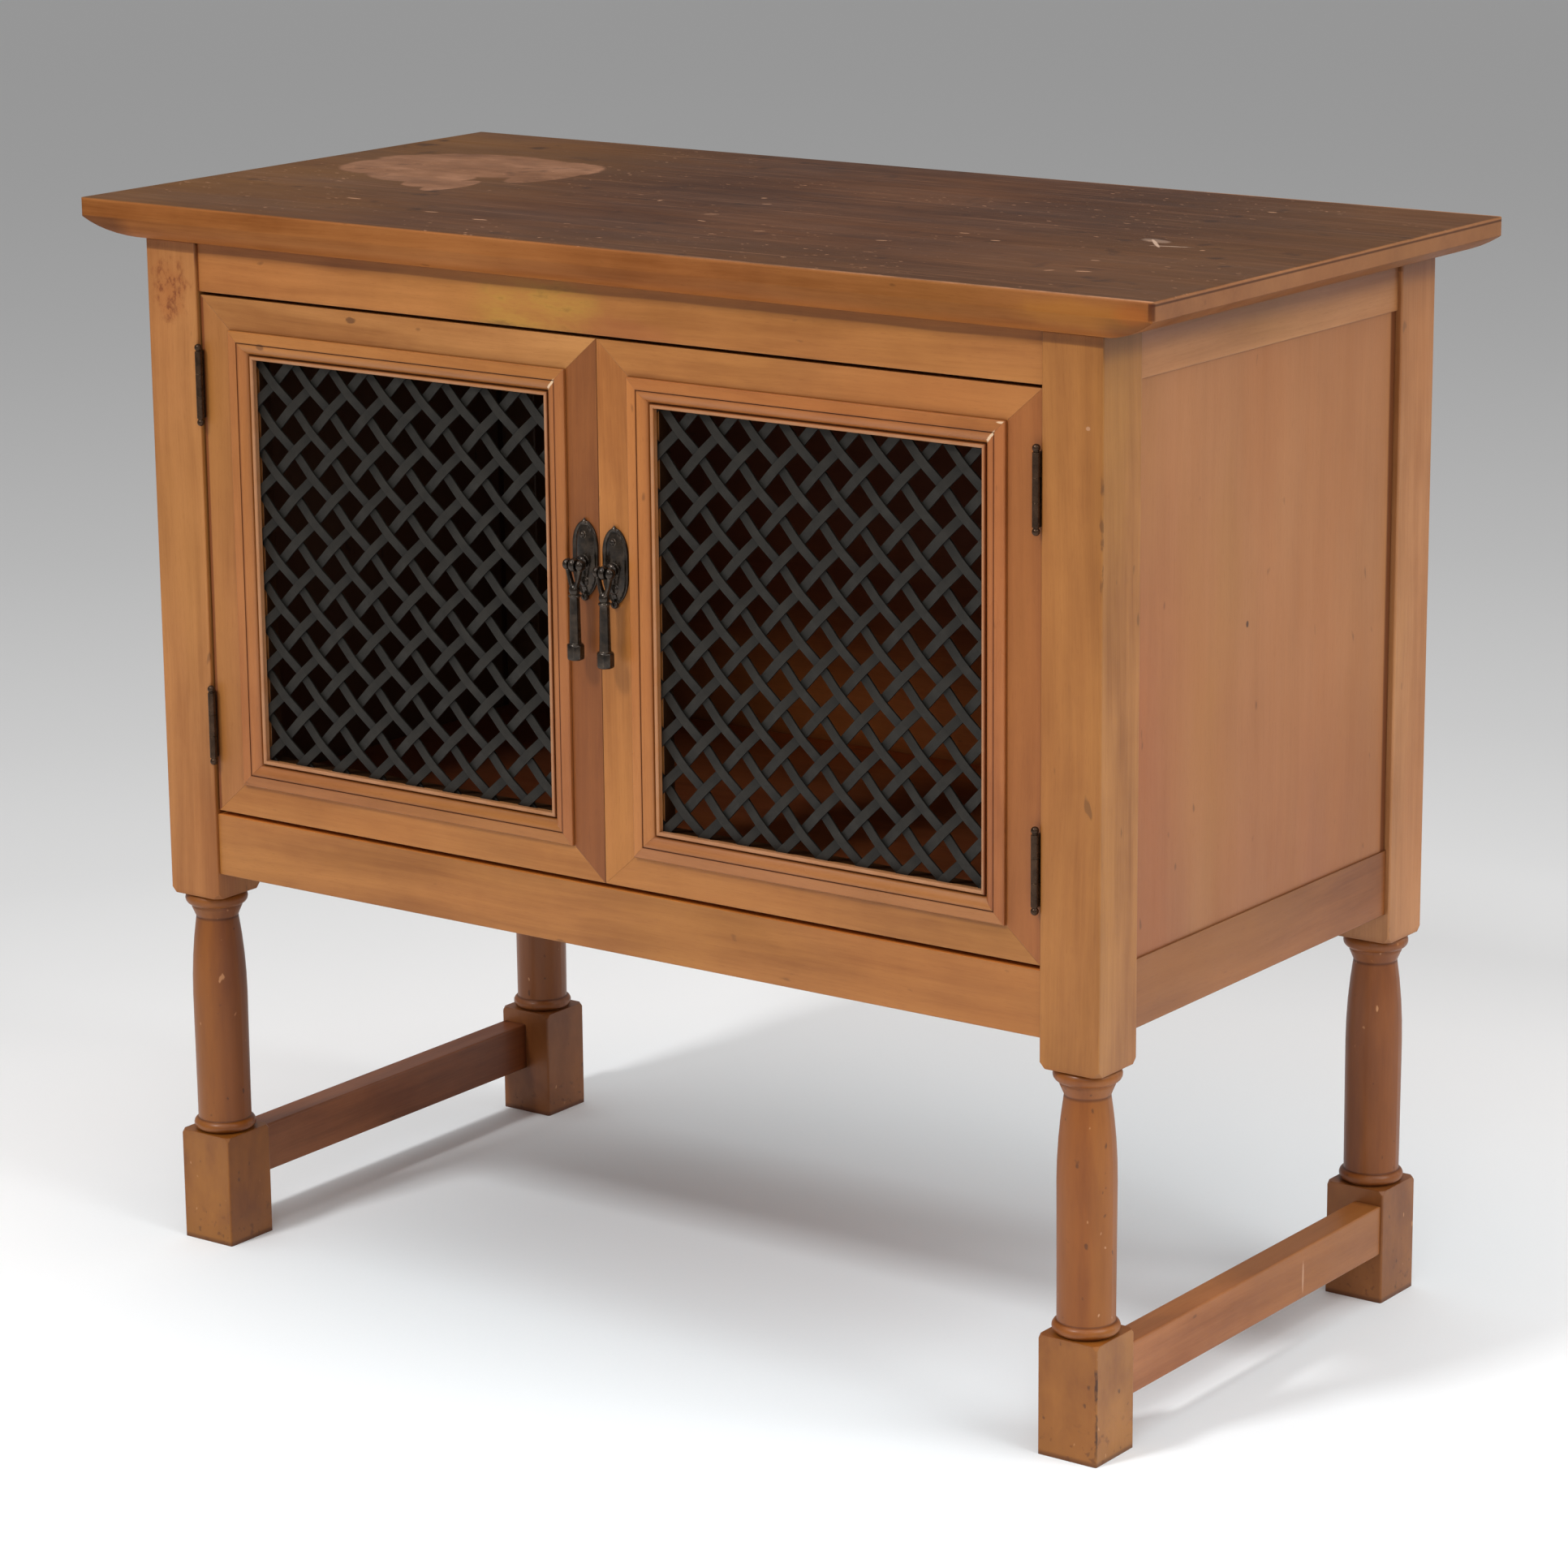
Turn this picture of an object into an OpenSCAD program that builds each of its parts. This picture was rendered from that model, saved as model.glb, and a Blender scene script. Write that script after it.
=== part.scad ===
// Low two-door cabinet on turned legs.
// Frame: +X to the right seen from the front, +Y to the back, +Z up.
// Origin: on the floor under the centre of the top board. Millimetres.

/* [Overall] */

// Width over the top board
top_w = 900; // [860:1:940]
// Depth over the top board
top_d = 449; // [430:1:470]
// Height from floor to top
height = 778; // [760:1:800]

/* [Top board] */

// Height of the upright edge of the top board
edge_h = 12.5; // [11:0.5:15]
// Height of the moulded undercut below the edge
under_h = 15.5; // [13:0.5:17]
// Overhang at the front
front_over = 17; // [15:0.5:20]
// Overhang at each side
side_over = 46.5; // [42:0.5:50]
// Overhang at the back
back_over = 8; // [4:0.5:12]

/* [Posts and legs] */

// Side of the square posts
post = 46; // [45:0.5:48]
// Height of the square foot blocks
block_h = 84; // [80:1:88]
// Height at which the square part of the post begins
square_z = 267.5; // [262:0.5:272]

/* [Rails and stretchers] */

// Set-back of the front and rear rails behind the post face
rail_back = 3; // [2:0.5:4]
// Set-back of the side rails
side_back = 3.5; // [2:0.5:4]
// Thickness of the upper rails and side rails
rail_t = 22; // [20:1:24]
// Lower edge of the front top rail
top_rail_z = 715.4; // [712:0.1:718]
// Upper edge of the front bottom rail
low_rail_top = 332.2; // [330:0.1:333]
// Lower edge of the front bottom rail
low_rail_z = 287; // [284:0.5:290]
// Thickness of the stretchers
stretcher_t = 22; // [20:1:24]
// Lower edge of the stretchers
stretcher_z = 36.5; // [32:0.5:40]
// Depth of a stretcher
stretcher_h = 36.5; // [32:0.5:40]

/* [Doors] */

// Gap between hinge stile and post
hinge_gap = 1.5; // [1.5:0.1:2]
// Half of the gap between the two doors at their faces
meet_gap = 0.2; // [0.2:0.1:0.6]
// Thickness of the door frame
door_t = 20; // [20:0.5:21]
// Set-back of the door face behind the post face
door_back = 3.5; // [3:0.5:4]
// Lower edge of the doors
door_z0 = 335.5; // [335:0.1:337]
// Upper edge of the doors
door_z1 = 713; // [709:0.1:713]
// Visible face width of the door stiles
stile_face = 26.5; // [25:0.5:28]
// Visible face width of the door rails
rail_face = 23; // [22:0.5:25]
// Width of the applied moulding
mould_w = 20; // [20:0.5:21]
// Height of the moulding above the door face
mould_p = 3; // [2.5:0.1:3.2]

/* [Lattice] */

// Width of the flat strips
strip_w = 6.8; // [5.8:0.2:7.8]
// Thickness of the strips
strip_t = 1.5; // [1:0.1:1.5]
// Left door: pitch across
left_px = 34.1; // [30:0.1:38]
// Left door: pitch up
left_pz = 32.2; // [30:0.1:38]
// Right door: pitch across
right_px = 32.6; // [30:0.1:38]
// Right door: pitch up
right_pz = 32.8; // [30:0.1:38]

/* [Hardware] */

// Length of a hinge barrel without its ball tips
barrel_l = 48; // [44:1:50]
// Radius of a hinge barrel
barrel_r = 2.6; // [2.4:0.1:2.7]
// Distance of the left pull from the centre line
left_pull_x = 11.7; // [11.5:0.1:15]
// Height of the middle of the left pull
left_pull_z = 561.2; // [540:0.1:580]
// Distance of the right pull from the centre line
right_pull_x = 13.9; // [11.5:0.1:15]
// Height of the middle of the right pull
right_pull_z = 558.6; // [540:0.1:580]

/* [View] */

// Part to show

/* [Hidden] */
$fn = 64;

wood = [0.66, 0.43, 0.25];
wood_side = [0.62, 0.42, 0.29];
wood_dark = [0.33, 0.22, 0.16];
wood_foot = [0.57, 0.37, 0.22];
inside = [0.5, 0.3, 0.2];
iron = [0.2, 0.2, 0.19];
bronze = [0.16, 0.13, 0.11];
steel = [0.6, 0.6, 0.58];

// case box
case_z = height - edge_h - under_h;
cx = top_w / 2 - side_over;
y_front = -top_d / 2 + front_over;
y_back = top_d / 2 - back_over;
px = cx - post;
pf = y_front + post;
pb = y_back - post;

// side rails
side_x1 = cx - side_back;
side_x0 = side_x1 - rail_t;
side_top_z = 716.5;
side_low_top = 335.6;
side_low_z = 289;
// panels
panel_t = 9;
panel_in = 8;
panel_x1 = cx - 5;
back_y1 = y_back - 5.7;

// front and rear rails
fr_y0 = y_front + rail_back;
fr_low_t = 30;
rr_y1 = y_back - rail_back;
tenon = 22;
tenon_t = 8;

// doors
dl0 = -px + hinge_gap;
dl1 = -meet_gap;
dy0 = y_front + door_back;
dy1 = dy0 + door_t;
back_w = mould_w - 1;
rebate = 8.4;
seat = 5;
mx0 = dl0 + stile_face;
mx1 = dl1 - stile_face;
mz0 = door_z0 + rail_face;
mz1 = door_z1 - rail_face;

// bottom board
board_z0 = 324;
board_z1 = 340;

// hinges
hx = -px + 2.4;
hy = y_front - 1.9;
leaf_t = 1.2;
leaf_y1 = dy1 - 1;
hinge_z = [400, 649];
pin_r = 1.4;

// pulls
pv_y = dy0 - 13.5;
pivot_z = -1.5;

// radius of the eased arrises of the timber and of the top board
arris = 1.4;
top_arris = 2;
// how much the meeting edges fall back over the thickness of the doors
fall = 1;

function arc_centre(a, h, r) =
  let (c = norm([a, h])) [a / 2, -h / 2] + sqrt(r * r - c * c / 4) * [h, a] / c;

module bar(x0, x1, y0, y1, z0, z1) {
  translate([x0, y0, z0]) cube([x1 - x0, y1 - y0, z1 - z0]);
}

// rectangle a by b about the origin with its corners rounded to r
module eased(a, b, r) {
  square([a - 2 * r, b], center = true);
  square([a, b - 2 * r], center = true);
  for (s = [-1, 1]) for (t = [-1, 1]) translate([s * (a / 2 - r), t * (b / 2 - r)]) circle(r, $fn = 48);
}

// a flat outline in X and Z given a thickness along Y
module slab_y(y0, y1) {
  translate([0, y1, 0]) rotate([90, 0, 0]) linear_extrude(y1 - y0) children();
}

// ---------- top board ----------

module undercut(len, over, r) {
  // half profile: x grows inwards from the edge, z = 0 at the lower arris of the upright edge
  c = arc_centre(over, under_h, r);
  square([len, edge_h - top_arris]);
  translate([top_arris, 0]) square([len - top_arris, edge_h]);
  translate([top_arris, edge_h - top_arris]) circle(top_arris, $fn = 48);
  translate([over, -under_h]) square([len - over, under_h + 1]);
  intersection() {
    translate([0, -under_h]) square([over + 0.01, under_h + 0.01]);
    translate(c) circle(r, $fn = 180);
  }
}

module top_board() color(wood_dark) {
  z = height - edge_h;
  intersection() {
    translate([0, 0, z - under_h - 1]) linear_extrude(under_h + edge_h + 2) eased(top_w, top_d, 3);
    translate([-top_w / 2, 0, z]) rotate([90, 0, 90]) linear_extrude(top_w)
      union() {
        translate([-top_d / 2, 0]) undercut(top_d / 2, front_over, 20);
        translate([-0.01, -under_h]) square([top_d / 2 + 0.01, edge_h + under_h]);
      }
    translate([0, top_d / 2, z]) rotate([90, 0, 0]) linear_extrude(top_d)
      union() {
        translate([-top_w / 2, 0]) undercut(top_w / 2 + 0.01, side_over, 95);
        mirror([1, 0]) translate([-top_w / 2, 0]) undercut(top_w / 2 + 0.01, side_over, 95);
      }
  }
}

// ---------- blanks that run into one another ----------

module front_top_blank() {
  bar(-px, px, fr_y0, fr_y0 + rail_t, top_rail_z, case_z);
  bar(-px - tenon, px + tenon, fr_y0 + 7, fr_y0 + 7 + tenon_t, top_rail_z + 5, case_z - 6);
}

module front_low_blank() {
  bar(-px, px, fr_y0, fr_y0 + fr_low_t, low_rail_z, low_rail_top);
  bar(-px - tenon, px + tenon, fr_y0 + 7, fr_y0 + 7 + tenon_t, low_rail_z + 5, low_rail_top - 5);
}

module rear_top_blank() {
  bar(-px, px, rr_y1 - rail_t, rr_y1, top_rail_z, case_z);
  bar(-px - tenon, px + tenon, rr_y1 - 15, rr_y1 - 15 + tenon_t, top_rail_z + 10, case_z - 6);
}

module rear_low_blank() {
  bar(-px, px, rr_y1 - rail_t, rr_y1, low_rail_z, low_rail_top);
  bar(-px - tenon, px + tenon, rr_y1 - 15, rr_y1 - 15 + tenon_t, low_rail_z + 5, low_rail_top - 10);
}

// right-hand side rail; the left one is its mirror image
module side_rail_blank(z0, z1, a, b) {
  bar(side_x0, side_x1, pf, pb, z0, z1);
  bar(side_x0 + 7, side_x0 + 7 + tenon_t, pf - tenon + 1, pb + tenon - 1, z0 + a, z1 - b);
}

module side_top_blank() side_rail_blank(side_top_z, case_z, 10, 6);
module side_low_blank() side_rail_blank(side_low_z, side_low_top, 5, 10);

module side_panel_blank() {
  bar(panel_x1 - panel_t, panel_x1, pf - panel_in, pb + panel_in, side_low_top - panel_in, side_top_z + panel_in);
}

module back_panel_blank() {
  bar(-px - panel_in, px + panel_in, back_y1 - panel_t, back_y1, low_rail_top - panel_in, top_rail_z + panel_in);
}

module stretcher_blank() {
  x1 = cx - 1.7;
  translate([x1 - stretcher_t / 2, pf, stretcher_z + stretcher_h / 2]) rotate([-90, 0, 0]) linear_extrude(pb - pf)
    eased(stretcher_t, stretcher_h, arris);
  bar(x1 - 15, x1 - 7, pf - 26, pb + 26, stretcher_z + 5, stretcher_z + stretcher_h - 5);
}

module case_frame_right() {
  front_top_blank();
  front_low_blank();
  rear_top_blank();
  rear_low_blank();
  side_top_blank();
  side_low_blank();
  side_panel_blank();
  back_panel_blank();
  stretcher_blank();
}

// ---------- posts ----------

module turned_leg() {
  zn = square_z - 19.5;
  zw = square_z - 79.5;
  rotate_extrude($fn = 96) {
    // bead under the square
    translate([0, square_z - 10]) square([post / 2 - 5, 10]);
    translate([post / 2 - 5, square_z - 5]) circle(5, $fn = 48);
    // small cone down to the neck
    polygon([[0, zn], [15.4, zn], [18.6, square_z - 12], [18.6, square_z - 9.5], [0, square_z - 9.5]]);
    // swelling column
    intersection() {
      translate([0, zw]) square([post / 2, zn - zw + 0.01]);
      translate([20.1 - 400, zw]) circle(400, $fn = 720);
    }
    polygon([[0, block_h], [19.6, block_h], [19.7, block_h + 10], [20.1, zw + 0.01], [0, zw + 0.01]]);
    // base ring
    translate([post / 2 - 4.6, block_h + 4.5]) circle(4.5, $fn = 48);
  }
}

module square_part(z0, z1, lo, hi) {
  // square timber whose corners are turned off towards the round work
  intersection() {
    translate([0, 0, z0]) linear_extrude(z1 - z0) eased(post, post, arris);
    union() {
      if (lo) translate([0, 0, z0]) cylinder(h = 5.01, r1 = post * 0.64, r2 = post * 0.71, $fn = 96);
      translate([0, 0, lo ? z0 + 5 : z0]) cylinder(h = z1 - z0 - (lo ? 5 : 0) - (hi ? 4 : 0), r = post * 0.71, $fn = 96);
      if (hi) translate([0, 0, z1 - 4.01]) cylinder(h = 4.01, r1 = post * 0.71, r2 = post * 0.655, $fn = 96);
    }
  }
}

module post_blank(x, y) {
  translate([x, y, 0]) {
    square_part(0, block_h, false, true);
    square_part(square_z, case_z, true, false);
    turned_leg();
  }
}

module front_right_post() color(wood) difference() {
  post_blank(cx - post / 2, y_front + post / 2);
  case_frame_right();
  mirror([1, 0, 0]) case_screws();
}

module front_left_post() color(wood) difference() {
  post_blank(-cx + post / 2, y_front + post / 2);
  mirror([1, 0, 0]) case_frame_right();
  case_screws();
}

module rear_right_post() color(wood_side) difference() {
  post_blank(cx - post / 2, y_back - post / 2);
  case_frame_right();
}

module rear_left_post() color(wood_side) difference() {
  post_blank(-cx + post / 2, y_back - post / 2);
  mirror([1, 0, 0]) case_frame_right();
}

// ---------- stretchers and rails ----------

module right_stretcher() color(wood_foot) stretcher_blank();
module left_stretcher() color(wood_foot) mirror([1, 0, 0]) stretcher_blank();

module front_top_rail() color(wood) front_top_blank();

module front_bottom_rail() color(wood) difference() {
  front_low_blank();
  bottom_board_blank();
}

module rear_top_rail() color(wood_side) difference() {
  rear_top_blank();
  back_panel_blank();
  top_buttons();
}

module rear_bottom_rail() color(wood_side) difference() {
  rear_low_blank();
  back_panel_blank();
  bottom_board_blank();
}

module right_top_rail() color(wood_side) difference() {
  side_top_blank();
  side_panel_blank();
  top_buttons();
}

module left_top_rail() color(wood_side) difference() {
  mirror([1, 0, 0]) side_top_blank();
  mirror([1, 0, 0]) side_panel_blank();
  top_buttons();
}

module right_bottom_rail() color(wood_side) difference() {
  side_low_blank();
  side_panel_blank();
}

module left_bottom_rail() color(wood_side) mirror([1, 0, 0]) difference() {
  side_low_blank();
  side_panel_blank();
}

module right_side_panel() color(wood_side) side_panel_blank();
module left_side_panel() color(wood_side) mirror([1, 0, 0]) side_panel_blank();
module back_panel() color(inside) back_panel_blank();

// ---------- bottom board, stop, catches, top buttons ----------

module bottom_board_blank() {
  f = dy1 + 1;
  b = rr_y1 - rail_t + 8;
  intersection() {
    bar(-side_x0 + 0.2, side_x0 - 0.2, f, b, board_z0, board_z1);
    union() {
      bar(-px + 0.2, px - 0.2, f - 1, b + 1, board_z0, board_z1);
      bar(-side_x0, side_x0, pf + 0.2, pb - 0.2, board_z0, board_z1);
    }
  }
}

module bottom_board() color(inside) bottom_board_blank();

module button(w) {
  bar(-w / 2, w / 2, -24, 0, case_z - 13, case_z);
  bar(-w / 2, w / 2, -1, 6, case_z - 13, case_z - 7);
}

module top_buttons() color(inside) {
  for (s = [-1, 1]) {
    for (y = [-90, 90]) translate([s * side_x0, y, 0]) rotate([0, 0, -s * 90]) button(30);
    translate([s * 180, rr_y1 - rail_t, 0]) button(30);
  }
}

module door_stop() color(inside) difference() {
  bar(-px + 2, px - 2, fr_y0 + rail_t, fr_y0 + rail_t + 12, 702, case_z - 6);
  door_magnets();
}

module door_magnets() color(steel) for (s = [-1, 1])
  translate([s * 32, dy1 + 0.5, 708]) rotate([-90, 0, 0]) cylinder(h = 10, r = 4, $fn = 48);

// ---------- doors: drawn for the left door, mirrored for the right ----------

module stile_outline(a) {
  // a = 0 hinge side, 1 meeting side
  h = door_z1 - door_z0;
  translate([a ? dl1 : dl0, door_z0]) mirror([a, 0])
    polygon([[0, 0], [stile_face, rail_face], [stile_face + back_w, rail_face + back_w],
      [stile_face + back_w, h - rail_face - back_w], [stile_face, h - rail_face], [0, h]]);
}

module rail_outline(a) {
  // a = 0 bottom, 1 top
  w = dl1 - dl0;
  translate([dl0, a ? door_z1 : door_z0]) mirror([0, a])
    polygon([[0, 0], [w, 0], [w - stile_face, rail_face], [w - stile_face - back_w, rail_face + back_w],
      [stile_face + back_w, rail_face + back_w], [stile_face, rail_face]]);
}

// wedge that takes the meeting edge back from the face to the rear, so that the doors pass each other
module meeting_bevel() translate([0, 0, door_z0 - 1]) linear_extrude(door_z1 - door_z0 + 2)
  polygon([[dl1 + fall / door_t, dy0 - 1], [dl1 + 5, dy0 - 1], [dl1 + 5, dy1 + 1], [dl1 - fall - fall / door_t, dy1 + 1]]);

module door_rebate() bar(mx0, mx1, dy0 - 1, dy0 + rebate, mz0, mz1);

module hinge_stile() difference() {
  slab_y(dy0, dy1) stile_outline(0);
  door_rebate();
  door_leaf_mortises();
  door_screws();
}

module meeting_stile() difference() {
  slab_y(dy0, dy1) stile_outline(1);
  door_rebate();
  meeting_bevel();
}

module door_top_rail() difference() {
  slab_y(dy0, dy1) rail_outline(1);
  door_rebate();
  meeting_bevel();
  strike_plate();
}

module door_bottom_rail() difference() {
  slab_y(dy0, dy1) rail_outline(0);
  door_rebate();
  meeting_bevel();
}

// moulding profile: x = distance from the outer edge, y = height above the door face
module mould_profile() {
  translate([0, -seat]) square([mould_w - 5.6, seat - 3]);
  translate([0, -seat + 1]) square([8.8, seat + 0.6]);
  // outer flat with an eased arris
  difference() {
    translate([0, -1.3]) square([7.9, mould_p + 1.3]);
    translate([0, mould_p]) rotate(45) square(1.1, center = true);
  }
  // quarter round behind a quirk
  intersection() {
    translate([8.5, -seat]) square([7.9, seat + 3]);
    translate([9, -5]) circle(7.8, $fn = 96);
  }
  // bead on the sight edge
  translate([14, -seat]) square([mould_w - 15, 2]);
  translate([mould_w - 2.8, -seat]) square([2.6, seat - 1.4]);
  translate([mould_w - 1.5, -1.5]) circle(1.5, $fn = 64);
}

module mould_bottom_blank() {
  // profile (u, v) mapped to (z, -y) and run along X
  translate([mx0, dy0, mz0]) multmatrix([[0, 0, 1, 0], [0, -1, 0, 0], [1, 0, 0, 0], [0, 0, 0, 1]])
    linear_extrude(mx1 - mx0) mould_profile();
}

module mould_left_blank() {
  // profile (u, v) mapped to (x, -y) and run along Z
  translate([mx0, dy0, mz0]) mirror([0, 1, 0]) linear_extrude(mz1 - mz0) mould_profile();
}

module mitre_outline(a) {
  // a = 0 upright length, 1 cross length; lower or left length of the pair
  w = mx1 - mx0;
  h = mz1 - mz0;
  translate([mx0, mz0])
    if (a) polygon([[0, 0], [w, 0], [w - mould_w - 1, mould_w + 1], [mould_w + 1, mould_w + 1]]);
    else polygon([[0, 0], [mould_w + 1, mould_w + 1], [mould_w + 1, h - mould_w - 1], [0, h]]);
}

module mould_side() intersection() {
  mould_left_blank();
  slab_y(dy0 - 5, dy0 + 8) mitre_outline(0);
}

module mould_cross() intersection() {
  mould_bottom_blank();
  slab_y(dy0 - 5, dy0 + 8) mitre_outline(1);
}

module flip_x() translate([dl0 + dl1, 0, 0]) mirror([1, 0, 0]) children();
module flip_z() translate([0, 0, door_z0 + door_z1]) mirror([0, 0, 1]) children();

module left_door_hinge_side_moulding() color(wood) mould_side();
module left_door_meeting_side_moulding() color(wood) flip_x() mould_side();
module left_door_bottom_moulding() color(wood) mould_cross();
module left_door_top_moulding() color(wood) flip_z() mould_cross();
module right_door_hinge_side_moulding() color(wood) mirror([1, 0, 0]) mould_side();
module right_door_meeting_side_moulding() color(wood) mirror([1, 0, 0]) flip_x() mould_side();
module right_door_bottom_moulding() color(wood) mirror([1, 0, 0]) mould_cross();
module right_door_top_moulding() color(wood) mirror([1, 0, 0]) flip_z() mould_cross();

module left_door_hinge_stile() color(wood) hinge_stile();
module left_door_meeting_stile() color(wood) difference() {
  meeting_stile();
  at_left_pull() shank(0.1);
}
module left_door_top_rail() color(wood) door_top_rail();
module left_door_bottom_rail() color(wood) door_bottom_rail();
module right_door_hinge_stile() color(wood) mirror([1, 0, 0]) hinge_stile();
module right_door_meeting_stile() color(wood) difference() {
  mirror([1, 0, 0]) meeting_stile();
  at_right_pull() shank(0.1);
}
module right_door_top_rail() color(wood) mirror([1, 0, 0]) door_top_rail();
module right_door_bottom_rail() color(wood) mirror([1, 0, 0]) door_bottom_rail();

module strike_plate() translate([-32, dy1 + 0.01, 707.5]) rotate([90, 0, 0]) cylinder(h = 1.01, r = 5, $fn = 48);
module left_door_strike_plate() color(steel) strike_plate();
module right_door_strike_plate() color(steel) mirror([1, 0, 0]) strike_plate();

// ---------- woven lattice ----------

// zigzag centre line of one strip: s = distance along it, d = depth, up at even crossings
module strip_profile(n0, n1, step, par) {
  a = strip_t / 2 + 0.06;
  f = strip_w / 2 + 1.1;
  up = [for (n = [n0:n1]) let (o = ((n + par) % 2 == 0 ? a : -a)) each [[n * step - f, o], [n * step + f, o]]];
  top = [for (p = up) [p[0], p[1] + strip_t / 2]];
  low = [for (i = [len(up) - 1:-1:0]) [up[i][0], up[i][1] - strip_t / 2]];
  polygon(concat(top, low));
}

// k = 1: strips that rise to the right, k = -1: strips that fall to the right
module strips(x0, x1, z0, z1, ox, oz, dx, dz, k) {
  ang = atan2(dz, dx);
  step = norm([dx, dz]) / 2;
  w = x1 - x0;
  h = z1 - z0;
  yc = dy0 + (seat + rebate) / 2;
  m_lo = floor(((x0 - ox) / dx - (k > 0 ? z1 - oz : oz - z0) / dz));
  m_hi = ceil(((x1 - ox) / dx - (k > 0 ? z0 - oz : oz - z1) / dz));
  intersection() {
    bar(x0, x1, yc - 2, yc + 2, z0, z1);
    union() for (m = [m_lo:m_hi]) {
      // this strip crosses the level oz at ox + m * dx
      xs = ox + m * dx;
      // crossing numbers counted from that point, limited to the panel
      a0 = 2 * max((x0 - xs) / dx, (k > 0 ? z0 - oz : oz - z1) / dz);
      a1 = 2 * min((x1 - xs) / dx, (k > 0 ? z1 - oz : oz - z0) / dz);
      if (a1 - a0 > 0.45)
        translate([xs, yc, oz]) rotate([0, -k * ang, 0]) rotate([90, 0, 0])
          rotate([90, 0, 0]) translate([0, 0, -strip_w / 2]) linear_extrude(strip_w)
            strip_profile(floor(a0) - 1, ceil(a1) + 1, step, k > 0 ? 0 : 1);
    }
  }
}

module left_strips(k) strips(mx0 + 1.5, mx1 - 1.5, mz0 + 1.5, mz1 - 1.5, -277.9, 638.2, left_px, left_pz, k);
module right_strips(k) strips(-mx1 + 1.5, -mx0 - 1.5, mz0 + 1.5, mz1 - 1.5, 177.9, 640.2, right_px, right_pz, k);

module left_door_rising_strips() color(iron) left_strips(1);
module left_door_falling_strips() color(iron) left_strips(-1);
module right_door_rising_strips() color(iron) right_strips(1);
module right_door_falling_strips() color(iron) right_strips(-1);

// ---------- hinges: drawn for the left door ----------

module knuckle(z0, z1, bore) difference() {
  translate([hx, hy, z0]) cylinder(h = z1 - z0, r = barrel_r, $fn = 48);
  translate([hx, hy, z0 - 1]) cylinder(h = z1 - z0 + 2, r = bore, $fn = 48);
}

module case_leaf(z) {
  k = barrel_l / 3;
  difference() {
    union() {
      bar(-px, -px + leaf_t, hy + barrel_r + 0.4, leaf_y1, z - barrel_l / 2, z + barrel_l / 2);
      for (s = [-1, 1]) {
        zc = z + s * k;
        bar(-px, -px + leaf_t, hy + 0.8, hy + 5, zc - k / 2 + 0.15, zc + k / 2 - 0.15);
      }
    }
    case_screws();
    translate([hx, hy, z - barrel_l]) cylinder(h = 2 * barrel_l, r = barrel_r - 0.4, $fn = 48);
  }
  for (s = [-1, 1]) knuckle(z + s * k - k / 2 + (s > 0 ? 0.15 : 0), z + s * k + k / 2 - (s > 0 ? 0 : 0.15), pin_r + 0.02);
}

module door_leaf(z) {
  k = barrel_l / 3;
  x0 = dl0;
  difference() {
    union() {
      bar(x0, x0 + leaf_t, hy + barrel_r + 0.4, leaf_y1, z - barrel_l / 2, z + barrel_l / 2);
      bar(x0, x0 + leaf_t, hy + 0.8, hy + 5, z - k / 2 + 0.15, z + k / 2 - 0.15);
    }
    door_screws();
    translate([hx, hy, z - barrel_l]) cylinder(h = 2 * barrel_l, r = barrel_r - 0.4, $fn = 48);
  }
  knuckle(z - k / 2 + 0.15, z + k / 2 - 0.15, pin_r + 0.06);
}

module hinge_pin(z) {
  translate([hx, hy, z - barrel_l / 2]) cylinder(h = barrel_l, r = pin_r, $fn = 48);
  for (s = [-1, 1]) {
    translate([hx, hy, z + s * (barrel_l / 2 + 2.9)]) sphere(2.7, $fn = 48);
    translate([hx, hy, z + s * (barrel_l / 2 + 0.6) - 0.6]) cylinder(h = 1.2, r = 1.9, $fn = 48);
  }
}

module door_leaf_mortises() for (z = hinge_z)
  bar(dl0 - 1, dl0 + leaf_t, dy0 - 1, leaf_y1, z - barrel_l / 2, z + barrel_l / 2);

module screw() {
  cylinder(h = leaf_t, r1 = 2.9, r2 = 1.7, $fn = 32);
  translate([0, 0, leaf_t - 0.01]) cylinder(h = 12, r = 1.6, $fn = 32);
  translate([0, 0, leaf_t + 11.9]) cylinder(h = 3, r1 = 1.6, r2 = 0.5, $fn = 32);
}

module case_screws() for (z = hinge_z) for (dz = [-15, 15])
  translate([-px + leaf_t, leaf_y1 - 8, z + dz]) rotate([0, -90, 0]) screw();

module door_screws() for (z = hinge_z) for (dz = [-15, 15])
  translate([dl0, leaf_y1 - 8, z + dz]) rotate([0, 90, 0]) screw();

module left_hinge_case_leaves() color(bronze) for (z = hinge_z) case_leaf(z);
module left_hinge_door_leaves() color(bronze) for (z = hinge_z) door_leaf(z);
module left_hinge_pins() color(bronze) for (z = hinge_z) hinge_pin(z);
module right_hinge_case_leaves() color(bronze) mirror([1, 0, 0]) for (z = hinge_z) case_leaf(z);
module right_hinge_door_leaves() color(bronze) mirror([1, 0, 0]) for (z = hinge_z) door_leaf(z);
module right_hinge_pins() color(bronze) mirror([1, 0, 0]) for (z = hinge_z) hinge_pin(z);
module case_hinge_screws() color(steel) {
  case_screws();
  mirror([1, 0, 0]) case_screws();
}
module left_door_hinge_screws() color(steel) door_screws();
module right_door_hinge_screws() color(steel) mirror([1, 0, 0]) door_screws();

// ---------- pulls: drawn round x = 0 and z = 0, then moved ----------

// half of a pointed outline standing on a straight base: half width w, arc radius r
module ogive(w, r) intersection() {
  translate([-w, 0]) square([2 * w, 2 * r]);
  translate([w - r, 0]) circle(r, $fn = 96);
  translate([r - w, 0]) circle(r, $fn = 96);
}

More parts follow.
